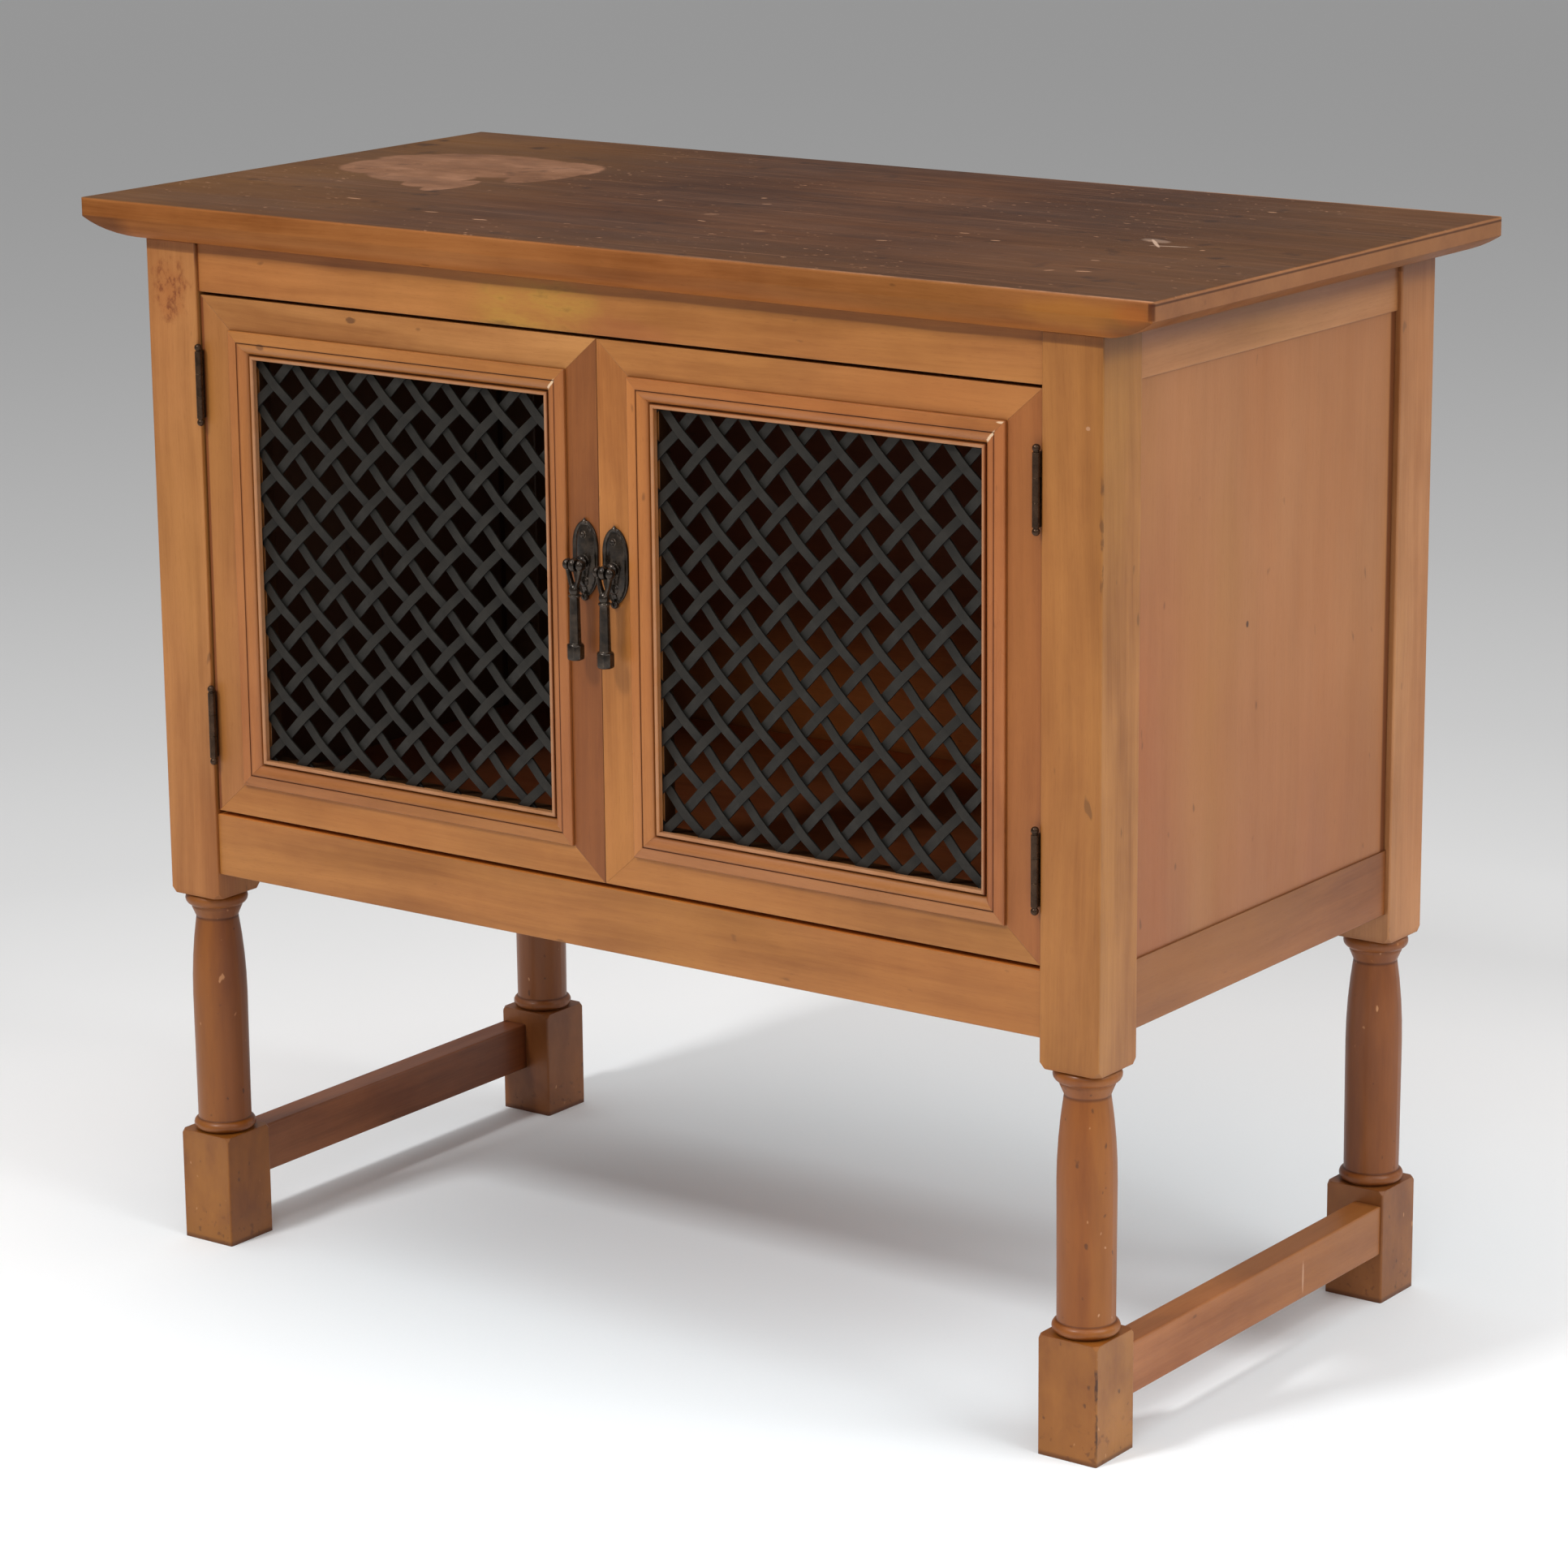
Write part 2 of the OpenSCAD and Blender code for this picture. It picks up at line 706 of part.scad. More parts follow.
module plate_outline(c) {
  translate([0, 16.3]) ogive(10.3 - c, 11.3 - c);
  translate([0, -13.8]) mirror([0, 1]) ogive(10.3 - c, 13.5 - c);
  translate([0, 1.25]) square([20.6 - 2 * c, 30.2], center = true);
}

module backplate() difference() {
  union() {
    slab_y(dy0 - 1.4, dy0) plate_outline(0);
    slab_y(dy0 - 2.2, dy0 - 1.3) plate_outline(1.1);
    slab_y(dy0 - 2.9, dy0 - 2.1) plate_outline(2.6);
    // bead finials at both ends
    translate([0, dy0 - 1.3, 26.4]) sphere(1.9, $fn = 32);
    translate([0, dy0 - 1.6, -25.4]) sphere(2.9, $fn = 32);
    // nail head above, boss below
    translate([0, dy0 - 2.5, 17.6]) sphere(2.2, $fn = 32);
    translate([0, dy0 - 1.2, -14.5]) sphere(4.2, $fn = 48);
  }
  bar(-12, 12, dy0, dy0 + 6, -32, 32);
  translate([0, dy0 + 1, pivot_z]) rotate([90, 0, 0]) cylinder(h = 7, r = 2.6, $fn = 48);
}

module shank(c) translate([0, dy1 + 1.5, pivot_z]) rotate([90, 0, 0]) cylinder(h = door_t + 12, r = 2.5 + c, $fn = 48);

module eye() difference() {
  union() {
    shank(0);
    // clenched end behind the door
    translate([0, dy1 + 1.5, pivot_z]) rotate([90, 0, 0]) cylinder(h = 1.4, r = 4.2, $fn = 48);
    // collar on the plate
    translate([0, dy0 - 2.9, pivot_z]) rotate([90, 0, 0]) cylinder(h = 2, r1 = 4.4, r2 = 3.2, $fn = 48);
    translate([0, pv_y, pivot_z]) rotate([0, 90, 0]) {
      translate([0, 0, -2.2]) cylinder(h = 4.4, r = 4.5, $fn = 64);
      rotate_extrude($fn = 64) translate([2.7, 0]) circle(2.3, $fn = 48);
    }
  }
  translate([-3, pv_y, pivot_z]) rotate([0, 90, 0]) cylinder(h = 6, r = 1.36, $fn = 48);
}

module pendant() translate([0, pv_y, pivot_z]) {
  // pivot pin with its two round heads
  translate([-5, 0, 0]) rotate([0, 90, 0]) cylinder(h = 10, r = 1.3, $fn = 48);
  for (s = [-1, 1]) rotate([0, s * 90, 0]) rotate_extrude($fn = 64) {
    translate([0, 3.6]) square([3.6, 2.4]);
    intersection() {
      translate([0, 5.9]) square([3.2, 3]);
      translate([0, 5.8]) circle(2.9, $fn = 48);
    }
  }
  // two arms that draw together
  slab_y(-1.9, 1.9) difference() {
    polygon([[-7.2, -0.4], [7.2, -0.4], [6.9, -3.5], [2.9, -16.6], [-2.9, -16.6], [-6.9, -3.5]]);
    polygon([[-3.6, 1], [3.6, 1], [3.6, -4.2], [0.4, -13.4], [-0.4, -13.4], [-3.6, -4.2]]);
  }
  // bead and collar where they meet
  translate([0, 0, -17.3]) sphere(3.9, $fn = 48);
  translate([0, 0, -22]) cylinder(h = 2.4, r = 3.8, $fn = 48);
  // flared shaft
  translate([0, 0, -54.6]) cylinder(h = 34, r1 = 4.1, r2 = 3.4, $fn = 48);
  // eight-sided end
  translate([0, 0, -64.8]) rotate(22.5) linear_extrude(9.6) circle(5.9, $fn = 8);
  translate([0, 0, -65.7]) rotate(22.5) linear_extrude(11.4) circle(5.1, $fn = 8);
}

module at_left_pull() translate([-left_pull_x, 0, left_pull_z]) children();
module at_right_pull() translate([right_pull_x, 0, right_pull_z]) children();

module left_pull_backplate() color(bronze) at_left_pull() backplate();
module left_pull_eye() color(bronze) at_left_pull() eye();
module left_pull_pendant() color(bronze) at_left_pull() pendant();
module right_pull_backplate() color(bronze) at_right_pull() backplate();
module right_pull_eye() color(bronze) at_right_pull() eye();
module right_pull_pendant() color(bronze) at_right_pull() pendant();

// ---------- assembly ----------

top_board();
front_left_post();
front_right_post();
rear_left_post();
rear_right_post();
left_stretcher();
right_stretcher();
front_top_rail();
front_bottom_rail();
rear_top_rail();
rear_bottom_rail();
left_top_rail();
left_bottom_rail();
right_top_rail();
right_bottom_rail();
left_side_panel();
right_side_panel();
back_panel();
bottom_board();
top_buttons();
door_stop();
door_magnets();
left_door_hinge_stile();
left_door_meeting_stile();
left_door_top_rail();
left_door_bottom_rail();
right_door_hinge_stile();
right_door_meeting_stile();
right_door_top_rail();
right_door_bottom_rail();
left_door_hinge_side_moulding();
left_door_meeting_side_moulding();
left_door_top_moulding();
left_door_bottom_moulding();
right_door_hinge_side_moulding();
right_door_meeting_side_moulding();
right_door_top_moulding();
right_door_bottom_moulding();
left_door_rising_strips();
left_door_falling_strips();
right_door_rising_strips();
right_door_falling_strips();
left_door_strike_plate();
right_door_strike_plate();
left_hinge_case_leaves();
left_hinge_door_leaves();
left_hinge_pins();
right_hinge_case_leaves();
right_hinge_door_leaves();
right_hinge_pins();
case_hinge_screws();
left_door_hinge_screws();
right_door_hinge_screws();
left_pull_backplate();
left_pull_eye();
left_pull_pendant();
right_pull_backplate();
right_pull_eye();
right_pull_pendant();
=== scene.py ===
import bpy, bmesh, math, random
from mathutils import Matrix, Vector


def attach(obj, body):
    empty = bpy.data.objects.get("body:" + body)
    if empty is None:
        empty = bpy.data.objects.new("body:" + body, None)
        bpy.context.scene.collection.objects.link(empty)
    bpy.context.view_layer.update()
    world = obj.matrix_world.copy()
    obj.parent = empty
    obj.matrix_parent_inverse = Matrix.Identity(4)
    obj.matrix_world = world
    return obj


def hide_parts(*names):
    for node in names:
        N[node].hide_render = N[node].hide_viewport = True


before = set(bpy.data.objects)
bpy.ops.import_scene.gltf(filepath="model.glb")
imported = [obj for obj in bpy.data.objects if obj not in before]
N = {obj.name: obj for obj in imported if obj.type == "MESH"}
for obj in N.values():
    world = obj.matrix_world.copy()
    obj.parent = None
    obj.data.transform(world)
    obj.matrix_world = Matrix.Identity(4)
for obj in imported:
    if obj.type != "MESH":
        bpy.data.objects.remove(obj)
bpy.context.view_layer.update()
random.seed(7)
scene = bpy.context.scene


# ------------------------------------------------------------------ shader nodes

def lin(c):
    """sRGB 0-255 to linear."""
    out = []
    for v in c:
        v /= 255.0
        out.append(v / 12.92 if v <= 0.04045 else ((v + 0.055) / 1.055) ** 2.4)
    return (*out, 1.0)


def tim(c):
    """A timber's colour as it looks under the lamps, sRGB 0-255, to its linear albedo."""
    r, g, b, a = lin(c)
    return (r * 0.99, g * 0.92, b * 0.74, a)


def mul(c, k):
    if not isinstance(k, (tuple, list)):
        k = (k, k, k)
    return tuple(min(1.0, a * b) for a, b in zip(c[:3], k))


class G:
    """A small builder of shader nodes."""

    def __init__(self, name):
        self.mat = bpy.data.materials.new(name)
        self.mat.use_nodes = True
        self.t = self.mat.node_tree
        self.t.nodes.clear()
        self.out = self.t.nodes.new("ShaderNodeOutputMaterial")
        self.bsdf = self.t.nodes.new("ShaderNodeBsdfPrincipled")
        self.t.links.new(self.bsdf.outputs[0], self.out.inputs[0])
        self.tc = self.t.nodes.new("ShaderNodeTexCoord")
        self.co = self.tc.outputs["Object"]

    def node(self, kind, **kw):
        n = self.t.nodes.new(kind)
        for k, v in kw.items():
            setattr(n, k, v)
        return n

    def put(self, sock, v):
        if v is None:
            return
        if isinstance(v, bpy.types.NodeSocket):
            self.t.links.new(v, sock)
        elif isinstance(v, (tuple, list)):
            v = tuple(v)
            if sock.type == "RGBA" and len(v) == 3:
                v = (*v, 1.0)
            sock.default_value = v
        else:
            sock.default_value = v

    def math(self, op, a, b=None, c=None, clamp=False):
        n = self.node("ShaderNodeMath", operation=op, use_clamp=clamp)
        for i, v in enumerate((a, b, c)):
            if v is not None:
                self.put(n.inputs[i], v)
        return n.outputs[0]

    def vec(self, op, a, b=None):
        n = self.node("ShaderNodeVectorMath", operation=op)
        self.put(n.inputs[0], a)
        if b is not None:
            self.put(n.inputs[1], b)
        return n.outputs["Value"] if op in ("DOT_PRODUCT", "LENGTH", "DISTANCE") else n.outputs[0]

    def map(self, loc=(0, 0, 0), rot=(0, 0, 0), scale=(1, 1, 1), src=None):
        n = self.node("ShaderNodeMapping")
        self.put(n.inputs["Vector"], src if src is not None else self.co)
        n.inputs["Location"].default_value = loc
        n.inputs["Rotation"].default_value = rot
        n.inputs["Scale"].default_value = scale
        return n.outputs[0]

    def noise(self, vector, scale=1.0, detail=2.0, rough=0.5, dist=0.0, color=False):
        n = self.node("ShaderNodeTexNoise")
        self.put(n.inputs["Vector"], vector)
        n.inputs["Scale"].default_value = scale
        n.inputs["Detail"].default_value = detail
        n.inputs["Roughness"].default_value = rough
        n.inputs["Distortion"].default_value = dist
        return n.outputs["Color" if color else "Fac"]

    def range(self, v, a, b, c=0.0, d=1.0, smooth=False):
        n = self.node("ShaderNodeMapRange")
        n.interpolation_type = "SMOOTHSTEP" if smooth else "LINEAR"
        n.clamp = True
        self.put(n.inputs[0], v)
        for i, x in enumerate((a, b, c, d)):
            n.inputs[i + 1].default_value = x
        return n.outputs[0]

    def mix(self, f, a, b, blend="MIX"):
        n = self.node("ShaderNodeMix", data_type="RGBA", blend_type=blend)
        self.put(n.inputs[0], f)
        self.put(n.inputs[6], a)
        self.put(n.inputs[7], b)
        return n.outputs[2]

    def ramp(self, v, stops):
        n = self.node("ShaderNodeValToRGB")
        el = n.color_ramp.elements
        while len(el) < len(stops):
            el.new(0.5)
        for e, (p, c) in zip(el, stops):
            e.position = p
            e.color = c if len(c) == 4 else (*c, 1)
        self.put(n.inputs[0], v)
        return n.outputs[0]

    def sep(self, v):
        n = self.node("ShaderNodeSeparateXYZ")
        self.put(n.inputs[0], v)
        return n.outputs

    def bump(self, h, strength, distance, normal=None):
        n = self.node("ShaderNodeBump")
        n.inputs["Strength"].default_value = strength
        n.inputs["Distance"].default_value = distance
        self.put(n.inputs["Height"], h)
        if normal is not None:
            self.put(n.inputs["Normal"], normal)
        return n.outputs[0]

    def bevel(self, radius, samples=4):
        n = self.node("ShaderNodeBevel", samples=samples)
        n.inputs["Radius"].default_value = radius
        return n.outputs[0]

    def edge(self, bevel_out, lo=0.02, hi=0.25):
        """1 on arrises, 0 on faces: how far the rounded normal leans from the flat one."""
        g = self.node("ShaderNodeNewGeometry")
        d = self.vec("DOT_PRODUCT", bevel_out, g.outputs["Normal"])
        return self.range(self.math("SUBTRACT", 1.0, d), lo, hi)

    def ao(self, dist, samples=4):
        n = self.node("ShaderNodeAmbientOcclusion", samples=samples)
        n.inputs["Distance"].default_value = dist
        return n.outputs["AO"]

    def blob(self, centre, radii, rag=0.5, rag_scale=60.0, soft=0.25, rot=0.0, detail=3.0):
        """Mask of a ragged ellipsoid: 1 inside, 0 outside."""
        d = self.vec("SUBTRACT", self.co, tuple(centre))
        if rot:
            n = self.node("ShaderNodeVectorRotate", rotation_type="Z_AXIS")
            self.put(n.inputs["Vector"], d)
            n.inputs["Angle"].default_value = rot
            d = n.outputs[0]
        d = self.vec("LENGTH", self.vec("DIVIDE", d, tuple(radii)))
        if rag:
            w = self.noise(self.map(tuple(v * 3.1 for v in centre), scale=(rag_scale,) * 3), 1.0, detail, 0.6)
            d = self.math("ADD", d, self.math("MULTIPLY", self.math("SUBTRACT", w, 0.5), rag * 2))
        return self.range(d, 1.0 + soft, 1.0 - soft, 0.0, 1.0, True)


AX = {"x": 0, "y": 1, "z": 2}


def stretch(axis, along, across):
    s = [across] * 3
    s[AX[axis]] = along
    return tuple(s)


# marks on particular members: (kind, centre, radii)
def mark(*specs):
    """Knots, chips, stains and flecks at their own places."""
    def t(g, col, cw, b):
        for s in specs:
            colour, amount, centre, radii = s[:4]
            opt = s[4] if len(s) > 4 else {}
            col = g.mix(g.math("MULTIPLY", g.blob(centre, radii, **opt), amount), col, colour)
        return col
    return t


def both(*fs):
    def t(g, col, cw, b):
        for f in fs:
            col = f(g, col, cw, b)
        return col
    return t


def wood(name, axis, base, seed=0.0, contrast=1.0, red=0.0, worn=1.0, rough=0.40, tweak=None, dirt_shade=1.0, figure=0.6,
         coat=0.15, bev_r=0.0011, spec=0.32, ao_d=0.007):
    """Varnished, honey coloured fruitwood with its grain along axis. base is the mean colour, linear."""
    g = G(name)
    off = (seed * 1.37, seed * 2.11, seed * 0.73)
    b = base[:3]
    # slow wandering of the grain
    wob = g.noise(g.map(off, scale=stretch(axis, 2.2, 6.0)), 1.0, 2.0, 0.5, 0.0, color=True)
    cw = g.vec("ADD", g.co, g.vec("MULTIPLY", g.vec("SUBTRACT", wob, (0.5, 0.5, 0.5)), (0.03, 0.03, 0.03)))
    broad = g.noise(g.map(off, scale=stretch(axis, 2.4, 26.0), src=cw), 1.0, 2.0, 0.55)
    mid = g.noise(g.map(off, scale=stretch(axis, 7.0, 130.0), src=cw), 1.0, 2.0, 0.55)
    line = g.noise(g.map(off, scale=stretch(axis, 16.0, 620.0), src=cw), 1.0, 2.0, 0.6)
    pores = g.noise(g.map(off, scale=stretch(axis, 120.0, 2300.0), src=cw), 1.0, 1.0, 0.5)
    cloud = g.noise(g.map(off, scale=stretch(axis, 7.0, 11.0)), 1.0, 4.0, 0.6)
    ring = g.noise(g.map(off, scale=stretch(axis, 0.9, 13.0), src=cw), 1.0, 1.0, 0.5)
    rings = g.math("POWER", g.math("ABSOLUTE", g.math("SINE", g.math("MULTIPLY", ring, 42.0))), 2.0)
    f = g.math("MULTIPLY", g.math("SUBTRACT", broad, 0.5), 1.15 * contrast)
    f = g.math("ADD", f, g.math("MULTIPLY", g.math("SUBTRACT", mid, 0.5), 0.52 * contrast))
    f = g.math("ADD", f, g.math("MULTIPLY", g.math("SUBTRACT", line, 0.5), 0.36 * contrast))
    f = g.math("ADD", f, g.math("MULTIPLY", g.math("SUBTRACT", cloud, 0.5), 1.15 * contrast))
    f = g.math("ADD", f, g.math("MULTIPLY", rings, 0.10 * figure * contrast))
    f = g.math("ADD", f, 0.5 - 0.05 * figure * contrast)
    col = g.ramp(f, [(0.10, mul(b, (0.66, 0.57, 0.44))), (0.5, b), (0.90, mul(b, (1.26, 1.34, 1.46)))])
    # redder and yellower passages
    hue = g.noise(g.map((off[1], off[2], off[0]), scale=stretch(axis, 2.6, 10.0), src=cw), 1.0, 3.0, 0.5)
    col = g.mix(g.range(hue, 0.50, 0.74, 0.0, 0.5 + red), col, mul(b, (0.97, 0.79, 0.60)))
    col = g.mix(g.range(hue, 0.50, 0.28, 0.0, 0.55), col, mul(b, (1.02, 1.11, 0.80)))
    # pores and small dark flecks
    col = g.mix(g.range(pores, 0.60, 0.74, 0.0, 0.24), col, mul(b, (0.52, 0.42, 0.32)))
    fleck = g.noise(g.map(off, scale=stretch(axis, 45, 110)), 1.0, 1.0, 0.5)
    col = g.mix(g.range(fleck, 0.765, 0.81, 0.0, 0.6), col, mul(b, 0.38))
    bev = g.bevel(bev_r)
    e = g.edge(bev, 0.012, 0.20)
    patchy = g.noise(g.map(off, scale=(24, 24, 24)), 1.0, 3.0, 0.6)
    # pale arrises: partly rubbed wood, partly a painted highlight along the edges
    wear = g.math("MULTIPLY", e, g.range(patchy, 0.42, 0.66, 0.05, 0.62 * worn))
    col = g.mix(wear, col, mul(b, (1.45, 1.62, 1.9)))
    col = g.mix(g.math("MULTIPLY", e, g.range(patchy, 0.46, 0.30, 0.0, 0.5)), col, mul(b, (0.52, 0.40, 0.32)))
    # grime and painted shade: the ambient occlusion darkens corners, quirks and recesses
    col = g.mix(g.range(g.ao(ao_d), 0.90, 0.22, 0.0, 0.85 * dirt_shade), col, mul(b, (0.26, 0.16, 0.10)))
    if tweak:
        col = tweak(g, col, cw, b)
    g.put(g.bsdf.inputs["Base Color"], col)
    smear = g.noise(g.map(off, scale=stretch(axis, 5, 18)), 1.0, 4.0, 0.6)
    g.put(g.bsdf.inputs["Roughness"], g.range(smear, 0.3, 0.72, rough - 0.05, rough + 0.13))
    g.bsdf.inputs["Specular IOR Level"].default_value = spec
    g.bsdf.inputs["Coat Weight"].default_value = coat
    g.bsdf.inputs["Coat Roughness"].default_value = 0.22
    h = g.math("ADD", g.math("MULTIPLY", line, 0.5), g.math("MULTIPLY", pores, 0.4))
    h = g.math("ADD", h, g.math("MULTIPLY", smear, 1.4))
    g.put(g.bsdf.inputs["Normal"], g.bump(h, 0.16, 0.0005, bev))
    return g.mat


def metal(name, base, rough=0.45, metallic=0.85, worn=(0.35, 0.30, 0.24), seed=0.0, bump=0.25, bevel=0.0004, wear=0.7,
          spec=0.5, grain=160.0, dust_shade=0.5, vary=(0.7, 1.45), shaded_sides=None, dust_shade_dist=0.004, lacquer=0.0):
    g = G(name)
    off = (seed, seed * 1.7, seed * 0.6)
    a = g.noise(g.map(off, scale=(grain,) * 3), 1.0, 3.0, 0.6)
    b = g.noise(g.map(off, scale=(grain * 4.5,) * 3), 1.0, 2.0, 0.6)
    col = g.mix(g.range(a, 0.35, 0.7), mul(base, vary[0]), mul(base, vary[1]))
    bev = g.bevel(bevel)
    e = g.math("MULTIPLY", g.edge(bev, 0.02, 0.2), g.range(a, 0.35, 0.65, 0.15, wear))
    col = g.mix(e, col, worn)
    # dust and painted shade: the ambient occlusion darkens hollows and the crossings of the strips
    col = g.mix(g.range(g.ao(dust_shade_dist), 0.9, 0.3, 0.0, dust_shade), col, mul(base, 0.4))
    if shaded_sides is not None:
        # painted shade: the edges of flat strips are darkened against their faces
        n = g.math("ABSOLUTE", g.sep(g.tc.outputs["Normal"])[1])
        col = g.mix(g.range(n, 0.8, 0.5), col, mul(base, shaded_sides))
        # painted shadow: the parts that pass behind another strip are darkened too
        y = g.sep(g.co)[1]
        col = g.mix(g.range(y, -0.1986, -0.1976, 0.0, 0.5), col, mul(base, 0.5))
    g.put(g.bsdf.inputs["Base Color"], col)
    g.bsdf.inputs["Metallic"].default_value = metallic
    g.bsdf.inputs["Coat Weight"].default_value = lacquer
    g.bsdf.inputs["Coat Roughness"].default_value = 0.24
    g.bsdf.inputs["Specular IOR Level"].default_value = spec
    g.put(g.bsdf.inputs["Roughness"], g.range(b, 0.3, 0.7, rough - 0.06, rough + 0.12))
    g.put(g.bsdf.inputs["Normal"], g.bump(g.math("ADD", a, g.math("MULTIPLY", b, 0.6)), bump, 0.0006, bev))
    return g.mat


def assign(o, m):
    o.data.materials.clear()
    o.data.materials.append(m)


# ------------------------------------------------------------------ top board

PALE = lin((214, 170, 138))[:3]
DARKSPOT = lin((58, 30, 18))[:3]


def top_tweak(g, col, cw, b):
    """Dark stained, much handled upper face; the moulded edge stays honey brown."""
    geo = g.node("ShaderNodeNewGeometry")
    nrm = g.sep(geo.outputs["Normal"])
    up = g.range(nrm[2], 0.62, 0.93)
    s = g.sep(g.co)
    mott = g.noise(g.map((3, 1, 2), scale=(3.2, 5.5, 4)), 1.0, 5.0, 0.62)
    streak = g.noise(g.map((1, 5, 2), scale=(3, 55, 55), src=cw), 1.0, 3.0, 0.6)
    t = g.math("ADD", g.math("MULTIPLY", mott, 0.66), g.math("MULTIPLY", streak, 0.34))
    dark = g.ramp(t, [(0.34, lin((50, 27, 15))[:3]), (0.5, lin((66, 38, 21))[:3]), (0.66, lin((84, 50, 27))[:3])])
    # yellower towards the left end, the front and the far right, purplish brown in the middle
    yel = lin((98, 63, 28))[:3]
    left = g.range(s[0], -0.08, -0.42, 0.0, 0.9, True)
    right = g.range(s[0], 0.14, 0.42, 0.0, 0.42, True)
    front = g.range(s[1], -0.08, -0.2245, 0.0, 0.22, True)
    rub = g.noise(g.map((8, 2, 1), scale=(5, 16, 5)), 1.0, 4.0, 0.6)
    k = g.math("MAXIMUM", g.math("MAXIMUM", left, right), front)
    dark = g.mix(g.math("MULTIPLY", k, g.range(rub, 0.3, 0.62, 0.45, 1.0)), dark, yel)
    # fine dry crackle of the old finish
    fine = g.noise(g.map((2, 7, 1), scale=(60, 420, 60)), 1.0, 3.0, 0.7)
    dark = g.mix(g.range(fine, 0.52, 0.72, 0.0, 0.22), dark, lin((104, 70, 46))[:3])
    # the bleached patch near the back left corner: a broad bay with two lobes in front and a straight right end
    rag = dict(rag=0.16, rag_scale=40.0, soft=0.06, detail=5.0)
    m = g.blob((-0.318, 0.062, 0.778), (0.090, 0.058, 1), **rag)
    for c, r in (((-0.262, 0.074, 0.778), (0.044, 0.040, 1)), ((-0.370, 0.030, 0.778), (0.040, 0.046, 1)),
                 ((-0.318, -0.004, 0.778), (0.046, 0.032, 1)), ((-0.264, -0.036, 0.778), (0.013, 0.030, 1)), ((-0.286, -0.030, 0.778), (0.020, 0.024, 1)),
                 ((-0.238, 0.044, 0.778), (0.019, 0.044, 1))):
        m = g.math("MAXIMUM", m, g.blob(c, r, **rag))
    veil = g.noise(g.map((4, 4, 4), scale=(20, 34, 20)), 1.0, 4.0, 0.6)
    pale = g.ramp(veil, [(0.32, lin((102, 67, 45))[:3]), (0.55, lin((127, 87, 61))[:3]), (0.72, lin((147, 104, 77))[:3])])
    dark = g.mix(g.math("MULTIPLY", m, 0.86), dark, pale)
    # flecks where the finish has chipped
    spot = g.noise(g.map((6, 6, 6), scale=(150, 330, 150)), 1.0, 1.0, 0.5)
    zone = g.noise(g.map((1, 9, 6), scale=(6, 9, 6)), 1.0, 2.0, 0.5)
    dark = g.mix(g.math("MULTIPLY", g.range(spot, 0.715, 0.765, 0.0, 0.6), g.range(zone, 0.46, 0.6)), dark, lin((170, 124, 92))[:3])
    spot2 = g.noise(g.map((9, 3, 7), scale=(38, 38, 38)), 1.0, 2.0, 0.5)
    dark = g.mix(g.range(spot2, 0.64, 0.76, 0.0, 0.6), dark, lin((38, 20, 12))[:3])
    for x, y, rx, ry, rz in ((-0.278, -0.125, 0.0065, 0.0016, 0.0), (-0.133, -0.162, 0.006, 0.0018, 0.1), (-0.087, -0.018, 0.0016, 0.0022, 0),
                             (-0.032, 0.031, 0.0022, 0.0018, 0.3), (-0.012, 0.007, 0.0036, 0.0013, 0.2), (-0.014, -0.055, 0.0055, 0.0012, 0.5),
                             (-0.186, -0.150, 0.0048, 0.0013, 0.2), (0.063, -0.104, 0.0042, 0.0011, 0.4), (0.158, -0.096, 0.0042, 0.0012, 0.3),
                             (0.222, -0.056, 0.0036, 0.0014, 0.1), (0.345, -0.140, 0.0055, 0.0018, 0.3), (0.324, -0.148, 0.0036, 0.0013, 0.8),
                             (0.326, -0.096, 0.0036, 0.0011, 0.2), (0.361, -0.021, 0.0018, 0.0014, 0.2), (0.307, 0.159, 0.0036, 0.0018, 0.0),
                             (0.185, -0.038, 0.0036, 0.001, 0.2), (0.0, -0.085, 0.0048, 0.001, -0.3)):
        dark = g.mix(g.math("MULTIPLY", g.blob((x, y, 0.778), (rx, ry, 1), rag=0.4, rag_scale=420, rot=-rz), 0.62), dark, lin((176, 132, 100))[:3])
    # the scuff on the right
    for x, y, rx, ry, rz, k in ((0.318, -0.010, 0.018, 0.0013, -0.9, 0.7), (0.334, -0.017, 0.014, 0.0011, 0.25, 0.6), (0.312, 0.000, 0.012, 0.006, -0.3, 0.25)):
        dark = g.mix(g.math("MULTIPLY", g.blob((x, y, 0.778), (rx, ry, 1), rag=0.4, rag_scale=180, rot=-rz), k), dark, lin((190, 160, 138))[:3])
    # hairline scratches
    for rz, sx, sy, o, k in ((0.35, 8, 520, 1.0, 0.4), (-0.5, 6, 470, 4.0, 0.35), (1.2, 7, 560, 7.0, 0.3)):
        sc = g.noise(g.map((o, o, 0), (0, 0, rz), (sx, sy, 1)), 1.0, 0.0, 0.5)
        dark = g.mix(g.range(sc, 0.75, 0.79, 0.0, k), dark, lin((128, 88, 62))[:3])
    # the arris is rubbed pale towards the right, dark and soft on the left
    ex = g.math("SUBTRACT", 0.45, g.math("ABSOLUTE", s[0]))
    ey = g.math("SUBTRACT", 0.2245, g.math("ABSOLUTE", s[1]))
    edge = g.math("MAXIMUM", g.range(ey, 0.0030, 0.0012), g.range(ex, 0.0018, 0.0008, 0.0, 0.4))
    keep = g.noise(g.map((5, 5, 5), scale=(16, 16, 16)), 1.0, 4.0, 0.65)
    rubbed = g.range(s[0], 0.02, 0.40, 0.06, 0.9)
    dark = g.mix(g.math("MULTIPLY", g.math("MULTIPLY", edge, rubbed), g.range(keep, 0.34, 0.6, 0.25, 1.0)), dark, lin((180, 128, 92))[:3])
